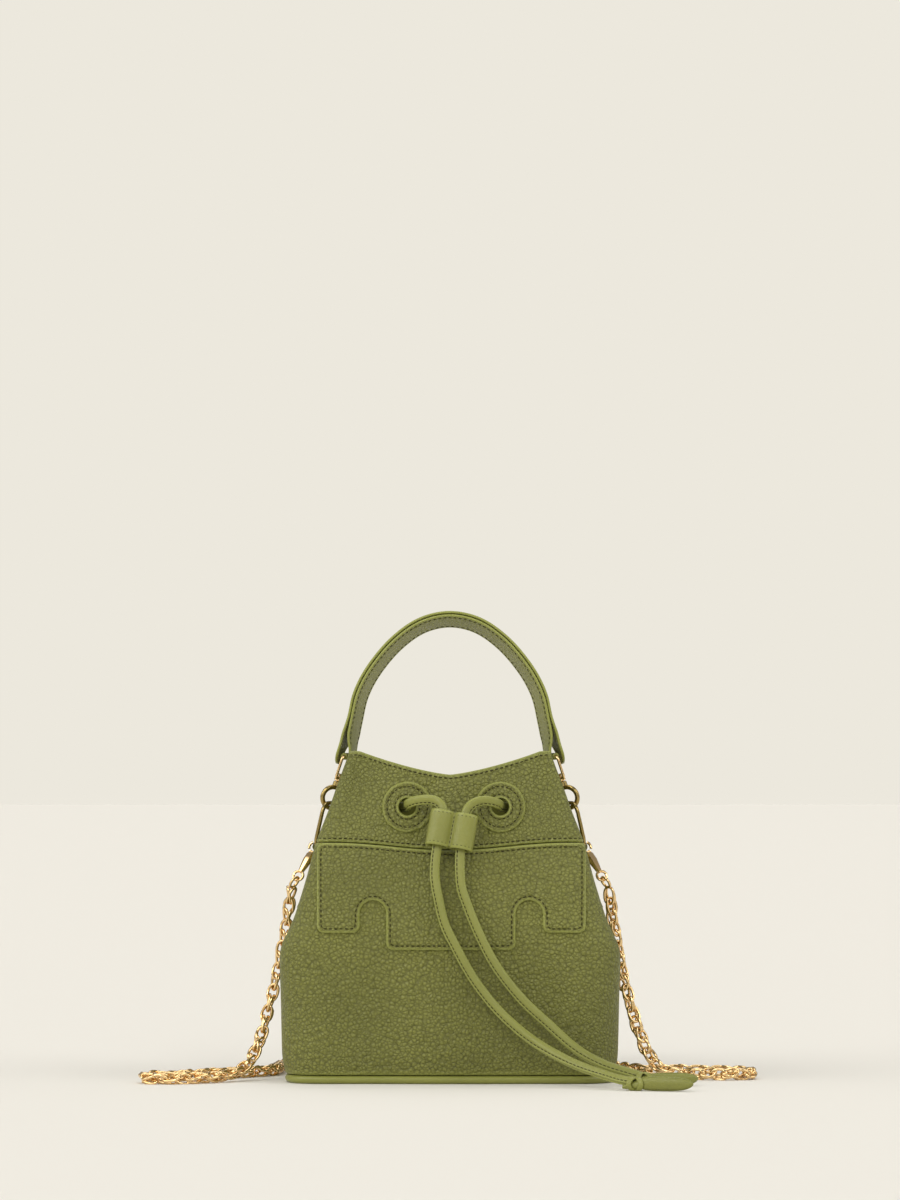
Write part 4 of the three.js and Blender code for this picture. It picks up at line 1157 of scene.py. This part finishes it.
EYE_TOP, EYE_FOOT = vec(60, 0, 186.2), vec(64.3, 0, 173.6)
HOOK_REACH, HOOK_RADIUS, HOOK_WIRE = 12, 6.2, 1.4
RING_TOP, RING_FOOT = vec(69.3, 0, 159.1), vec(75.8, 0, 133.8)
RING_HALF_WIDTH, RING_CORNER, RING_WIRE = 9, 6, 1.15
CLAW_RADIUS, CLAW_OFFSET, CLASP_LENGTH = 3.6, 5.7, 20.5
SMALL_WIRE = 0.8
RING_TURN, EYE_TURN, HOOK_TURN = math.radians(20), math.radians(10), math.radians(22)

hook_axis = (EYE_FOOT - EYE_TOP).normalized()
hook_centre = EYE_FOOT + hook_axis * HOOK_REACH
hook_side = Quaternion(hook_axis, HOOK_TURN) @ vec(-hook_axis.z, 0, hook_axis.x)
ring_across = vec(math.sin(RING_TURN), -math.cos(RING_TURN), 0)
ring_rise = RING_TOP - RING_FOOT
ring_up = (ring_rise - ring_across * ring_rise.dot(ring_across)).normalized()
eye_across = vec(math.sin(EYE_TURN), -math.cos(EYE_TURN), 0)
bar_rise = math.asin((CLAW_OFFSET - (RING_HALF_WIDTH - RING_CORNER)) / RING_CORNER)
claw_normal = ring_across * math.cos(bar_rise) + ring_up * math.sin(bar_rise)
clasp_axis = vec(0.4, -0.05, -0.89)
clasp_axis = (clasp_axis - claw_normal * clasp_axis.dot(claw_normal)).normalized()
clasp_side = claw_normal.cross(clasp_axis)
claw_centre = (RING_FOOT + ring_across * CLAW_OFFSET
               + ring_up * (RING_CORNER * (1 - math.cos(bar_rise))) + clasp_axis * 1.1)
clasp_foot = claw_centre + clasp_axis * CLASP_LENGTH
end_ring = clasp_foot + clasp_axis * 3.9


def arc_line(centre, u, v, radius, start, end, steps=40):
    turns = [math.radians(lerp(start, end, i / steps)) for i in range(steps + 1)]
    return [centre + u * (radius * math.cos(t)) + v * (radius * math.sin(t)) for t in turns]


def circle_line(centre, u, v, radius, count):
    turns = [2 * math.pi * i / count for i in range(count)]
    return [centre + u * (radius * math.cos(t)) + v * (radius * math.sin(t)) for t in turns]


def rounded_line(centre, u, v, half_wide, half_tall, radius, per_corner=10):
    """A rounded rectangle in the plane of u and v."""
    line = []
    for quarter, (su, sv) in enumerate(((1, 1), (-1, 1), (-1, -1), (1, -1))):
        for i in range(per_corner + 1):
            turn = math.pi / 2 * (quarter + i / per_corner)
            line.append(centre + u * (su * (half_wide - radius) + radius * math.cos(turn))
                        + v * (sv * (half_tall - radius) + radius * math.sin(turn)))
    return even_points(line, 0.7, closed=True)


def lathe(start, axis, profile, sides=28, flat=1.0, flat_axis=None):
    """A turned shape: profile holds (distance along, radius)."""
    across = (flat_axis or axis.orthogonal()).normalized()
    other = axis.cross(across)
    rings = [[start + axis * reach + across * (r * math.cos(t)) + other * (r * flat * math.sin(t))
              for t in (2 * math.pi * (s + 0.5) / sides for s in range(sides))] for reach, r in profile]
    return sum(rings, []), loft_faces(len(rings), sides)


def eye_mesh():
    rise = EYE_TOP - EYE_FOOT
    up = (rise - eye_across * rise.dot(eye_across)).normalized()
    loop = rounded_line(EYE_TOP.lerp(EYE_FOOT, 0.5), eye_across, up, 10.8, rise.length / 2, 2.2)
    boss = [(-1.2, 0.1), (-1.2, 2.2), (-0.9, 2.6), (1.6, 2.6), (2.0, 2.2), (2.0, 0.1)]
    return merged([wire(loop, 0.85, closed=True), lathe(EYE_FOOT, hook_axis, boss)])


def hook_mesh():
    """The hook's open bow on its turned stem."""
    profile = [(-2.6, 0.1), (-2.6, 1.4), (-2.2, 1.8), (-1.7, 1.8), (-1.5, 0.9), (2.2, 0.9), (2.3, 2.2),
               (2.6, 2.6), (4.9, 2.6), (5.3, 2.2), (5.4, 0.1)]
    stem = lathe(EYE_FOOT, hook_axis, profile)
    bow = wire(arc_line(hook_centre, hook_axis, hook_side, HOOK_RADIUS, 196, -42), HOOK_WIRE, sides=16)
    return merged([stem, bow])


def gate_mesh():
    return wire(arc_line(hook_centre, hook_axis, hook_side, HOOK_RADIUS, -60, -152), 1.05, sides=14)


def ring_mesh():
    line = rounded_line(RING_TOP.lerp(RING_FOOT, 0.5), ring_across, ring_up, RING_HALF_WIDTH,
                        ring_rise.length / 2, RING_CORNER)
    return wire(line, RING_WIRE, closed=True, sides=16)


def clasp_mesh():
    """A lobster clasp with a faceted body."""
    start = CLAW_RADIUS - 0.6
    end = CLASP_LENGTH - 2.6
    shape = [(0, 0.5), (0.02, 1.5), (0.16, 2.45), (0.42, 2.65), (0.72, 2.1), (0.95, 1.5), (1, 0.4)]
    body = lathe(claw_centre, clasp_axis, [(lerp(start, end, t), r) for t, r in shape], sides=8, flat=0.86,
                 flat_axis=clasp_side)
    claw = wire(arc_line(claw_centre, clasp_axis, clasp_side, CLAW_RADIUS, 24, -212), 0.98, sides=12)
    eye = circle_line(clasp_foot - clasp_axis * 0.6, clasp_axis, clasp_side, 2.9, 36)
    return merged([body, claw, wire(eye, SMALL_WIRE, closed=True)])


def trigger_mesh():
    return wire(arc_line(claw_centre, clasp_axis, clasp_side, CLAW_RADIUS, 130, 54), 0.78, sides=12)


def end_ring_mesh():
    down = vec(0.5, 0.2, -0.84).normalized()
    across = (claw_normal - down * claw_normal.dot(down)).normalized()
    return wire(circle_line(end_ring, down, across, 3.4, 40), SMALL_WIRE, closed=True)


def loop_mesh():
    """The rolled leather round the eye's upper bar."""
    profile = [(-8, 1.3), (-8, 1.7), (-7.7, 2.0), (7.7, 2.0), (8, 1.7), (8, 1.3)]
    return lathe(EYE_TOP, eye_across, profile)


def add_side_hardware():
    pieces = [("eye", eye_mesh, gold, "handle", "polished_gold", "hook_eye", 40),
              ("hook", hook_mesh, antique_gold, "hook", "antique_gold", "hook_body", 40),
              ("gate", gate_mesh, antique_gold, "hook_gate", "antique_gold", "hook_gate", 40),
              ("oval_ring", ring_mesh, antique_gold, "side_ring", "antique_gold", "side_ring", 40),
              ("clasp", clasp_mesh, gold, "bag", "polished_gold", "clasp_body", 22),
              ("trigger", trigger_mesh, gold, "clasp_trigger", "polished_gold", "clasp_trigger", 40),
              ("small_ring", end_ring_mesh, gold, "bag", "polished_gold", "chain_end_ring", 40),
              ("rolled_end", loop_mesh, trim_leather, "handle", "smooth_edge_leather", "handle_loop", 50)]
    made = {}
    for side, mirror in (("right", 1), ("left", -1)):
        for name, build, material, body, slot, stands_for, sharp in pieces:
            points, faces = build()
            points = [vec(p.x * mirror, p.y, p.z) for p in points]
            rides_on = body if body in ("bag", "handle") else f"{body}_{side}"
            made[f"{name}_{side}"] = add_piece(f"{name}_{side}", points, faces, material, rides_on,
                                               [f"{stands_for}_{side}"], sharp=sharp)
    return made


# ---------------------------------------------------------------- chain strap

CHAIN_RIGHT = [(92, -10.4, 108.9), (94.4, -7, 91), (98, -4.6, 71), (101.2, -4.8, 55), (105.6, -5.6, 38.5),
    (111.5, -7, 21), (119, -9.5, 8.6), (130, -13.5, 3.9), (148, -19, 3.6), (163, -21, 3.6),
    (172.5, -16.5, 3.6), (173.5, -6, 3.6), (164, 2, 3.6), (126, 11, 3.6), (110, 20, 3.6)]
CHAIN_LEFT = [(-104, 20, 3.6), (-118, 3, 3.6), (-134, -12, 3.6), (-152, -28, 3.6), (-166, -36, 3.6),
    (-173.5, -44, 3.6), (-171, -53, 3.6), (-160, -56, 3.6), (-143, -50, 3.8), (-128, -38, 4.4),
    (-117, -24, 8.6), (-110.5, -14, 21), (-105.6, -7.5, 38.5), (-101.2, -4.8, 55), (-98, -4.6, 71),
    (-94.4, -7, 91), (-92, -10.4, 108.9)]
CHAIN_BEHIND = [(100, 40, 3.6), (88, 62, 3.6), (68, 75, 3.6), (-60, 78, 3.6), (-72, 84, 3.6),
    (-66, 91, 3.6), (66, 95, 3.6), (74, 101, 3.6), (66, 107, 3.6), (-70, 105, 3.6), (-92, 90, 3.6),
    (-99, 66, 3.6), (-101, 42, 3.6)]
LINK_HALF_LONG, LINK_HALF_WIDE, LINK_WIRE = 4.9, 3.0, 0.8
LINK_PITCH = 6.4


def link_mesh(centre, along, across, normal, splay):
    """Two oval wires side by side."""
    parts = []
    for side in (-1, 1):
        turned = (across + normal * (side * splay)).normalized()
        lifted = (along + normal * (side * splay * 0.8)).normalized()
        line = []
        for i in range(26):
            turn = 2 * math.pi * i / 26
            c, s = math.cos(turn), math.sin(turn)
            a = math.copysign(abs(c) ** 0.85, c) * LINK_HALF_LONG
            b = math.copysign(abs(s) ** 0.85, s) * LINK_HALF_WIDE
            line.append(centre + lifted * a + turned * b + normal * (side * 0.7))
        parts.append(wire(line, LINK_WIRE, closed=True, sides=8))
    return merged(parts)


def add_chain():
    line = spline_points(CHAIN_RIGHT + CHAIN_BEHIND + CHAIN_LEFT, 1.0)
    total = line_length(line)
    count = round(total / LINK_PITCH)
    chance = random.Random(7)
    parts = []
    across = vec(0, 1, 0)
    for i in range(count):
        place = (i + 0.5) / count * (len(line) - 1)
        k = min(int(place), len(line) - 2)
        centre = line[k].lerp(line[k + 1], place - k)
        ahead, behind = line[min(k + 4, len(line) - 1)], line[max(k - 3, 0)]
        along = (ahead - behind).normalized()
        across = (across - along * across.dot(along)).normalized()
        turn = math.radians(45 if i % 2 else -45) + chance.uniform(-0.3, 0.3)
        turned = Quaternion(along, turn) @ across
        parts.append(link_mesh(centre, along, turned, along.cross(turned), chance.uniform(0.1, 0.4)))
    points, faces = merged(parts)
    chain = add_piece("chain", points, faces, gold, "bag", ["chain_strap"])


# ---------------------------------------------------------------- floor and light

BACKDROP = (0.84, 0.807, 0.723)
FLOOR = (0.772, 0.749, 0.697)


def add_floor():
    reach = 60
    mesh = bpy.data.meshes.new("floor")
    mesh.from_pydata([(-reach, -reach, 0), (reach, -reach, 0), (reach, reach, 0), (-reach, reach, 0)], [],
                     [(0, 1, 2, 3)])
    floor = bpy.data.objects.new("floor", mesh)
    bpy.context.scene.collection.objects.link(floor)
    material, _, shader = new_material("paper_floor")
    shader.inputs["Base Color"].default_value = (*FLOOR, 1)
    shader.inputs["Roughness"].default_value = 0.9
    shader.inputs["Specular IOR Level"].default_value = 0.1
    mesh.materials.append(material)


# Softboxes in the sky: direction, half angle in degrees, softness in degrees and brightness
SOFTBOXES = [
    ((-0.7, -0.45, 0.6), 20, 12, 3.0),
    ((0.75, -0.35, 0.6), 16, 10, 2.9),
    ((0.0, 0.3, 1.0), 22, 14, 1.9),
    ((-0.95, 0.1, 0.3), 12, 8, 2.2),
    ((0.97, 0.2, 0.25), 11, 8, 1.9),
    ((-0.3, -0.8, 0.75), 7, 4, 9.0),
    ((0.35, -0.85, 0.55), 6, 4, 7.0),
    ((0, -1, 0.12), 20, 12, 1.1),
]
AMBIENT = 0.3


def add_world():
    """Even light from all round with soft bright boxes. The camera sees a plain backdrop."""
    world = bpy.data.worlds.new("studio")
    bpy.context.scene.world = world
    world.use_nodes = True
    tree = world.node_tree
    direction = node(tree, "ShaderNodeTexCoord").outputs["Generated"]
    total = AMBIENT
    for towards, spread, soft, strength in SOFTBOXES:
        aim = Vector(towards).normalized()
        facing = node(tree, "ShaderNodeVectorMath", [(0, direction)], operation="DOT_PRODUCT")
        facing.inputs[1].default_value = aim
        box = node(tree, "ShaderNodeMapRange", [("Value", facing.outputs["Value"])],
                   interpolation_type="SMOOTHSTEP")
        box.inputs["From Min"].default_value = math.cos(math.radians(spread + soft / 2))
        box.inputs["From Max"].default_value = math.cos(math.radians(max(1, spread - soft / 2)))
        box.inputs["To Max"].default_value = strength
        total = math_node(tree, "ADD", box.outputs[0], total)
    light = tree.nodes["Background"]
    light.inputs["Color"].default_value = (1.0, 0.985, 0.95, 1)
    tree.links.new(total, light.inputs["Strength"])
    backdrop = node(tree, "ShaderNodeBackground", Color=(*BACKDROP, 1))
    seen = node(tree, "ShaderNodeLightPath").outputs["Is Camera Ray"]
    mix = node(tree, "ShaderNodeMixShader", [(0, seen), (1, light.outputs[0]), (2, backdrop.outputs[0])])
    tree.links.new(mix.outputs[0], tree.nodes["World Output"].inputs["Surface"])
    bpy.context.scene.view_settings.view_transform = "Standard"


# ---------------------------------------------------------------- putting it together


def dress_kept_nodes():
    """Finishes for the CAD pieces that show as they are."""
    kept = {"side_tab_left": body_leather, "side_tab_right": body_leather, "base_panel": trim_leather,
            "base_board": lining_cloth}
    for name, material in kept.items():
        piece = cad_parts[name]
        piece.data.materials.clear()
        piece.data.materials.append(material)


add_camera()
cords = add_drawcord()
add_pulls()
hardware = add_side_hardware()
add_chain()
add_shell()
add_lining()
add_piping()
add_overlays()
add_eyelets()
add_slider()
add_handle()
sew_shell()
add_stitches()
dress_kept_nodes()
add_floor()
add_world()
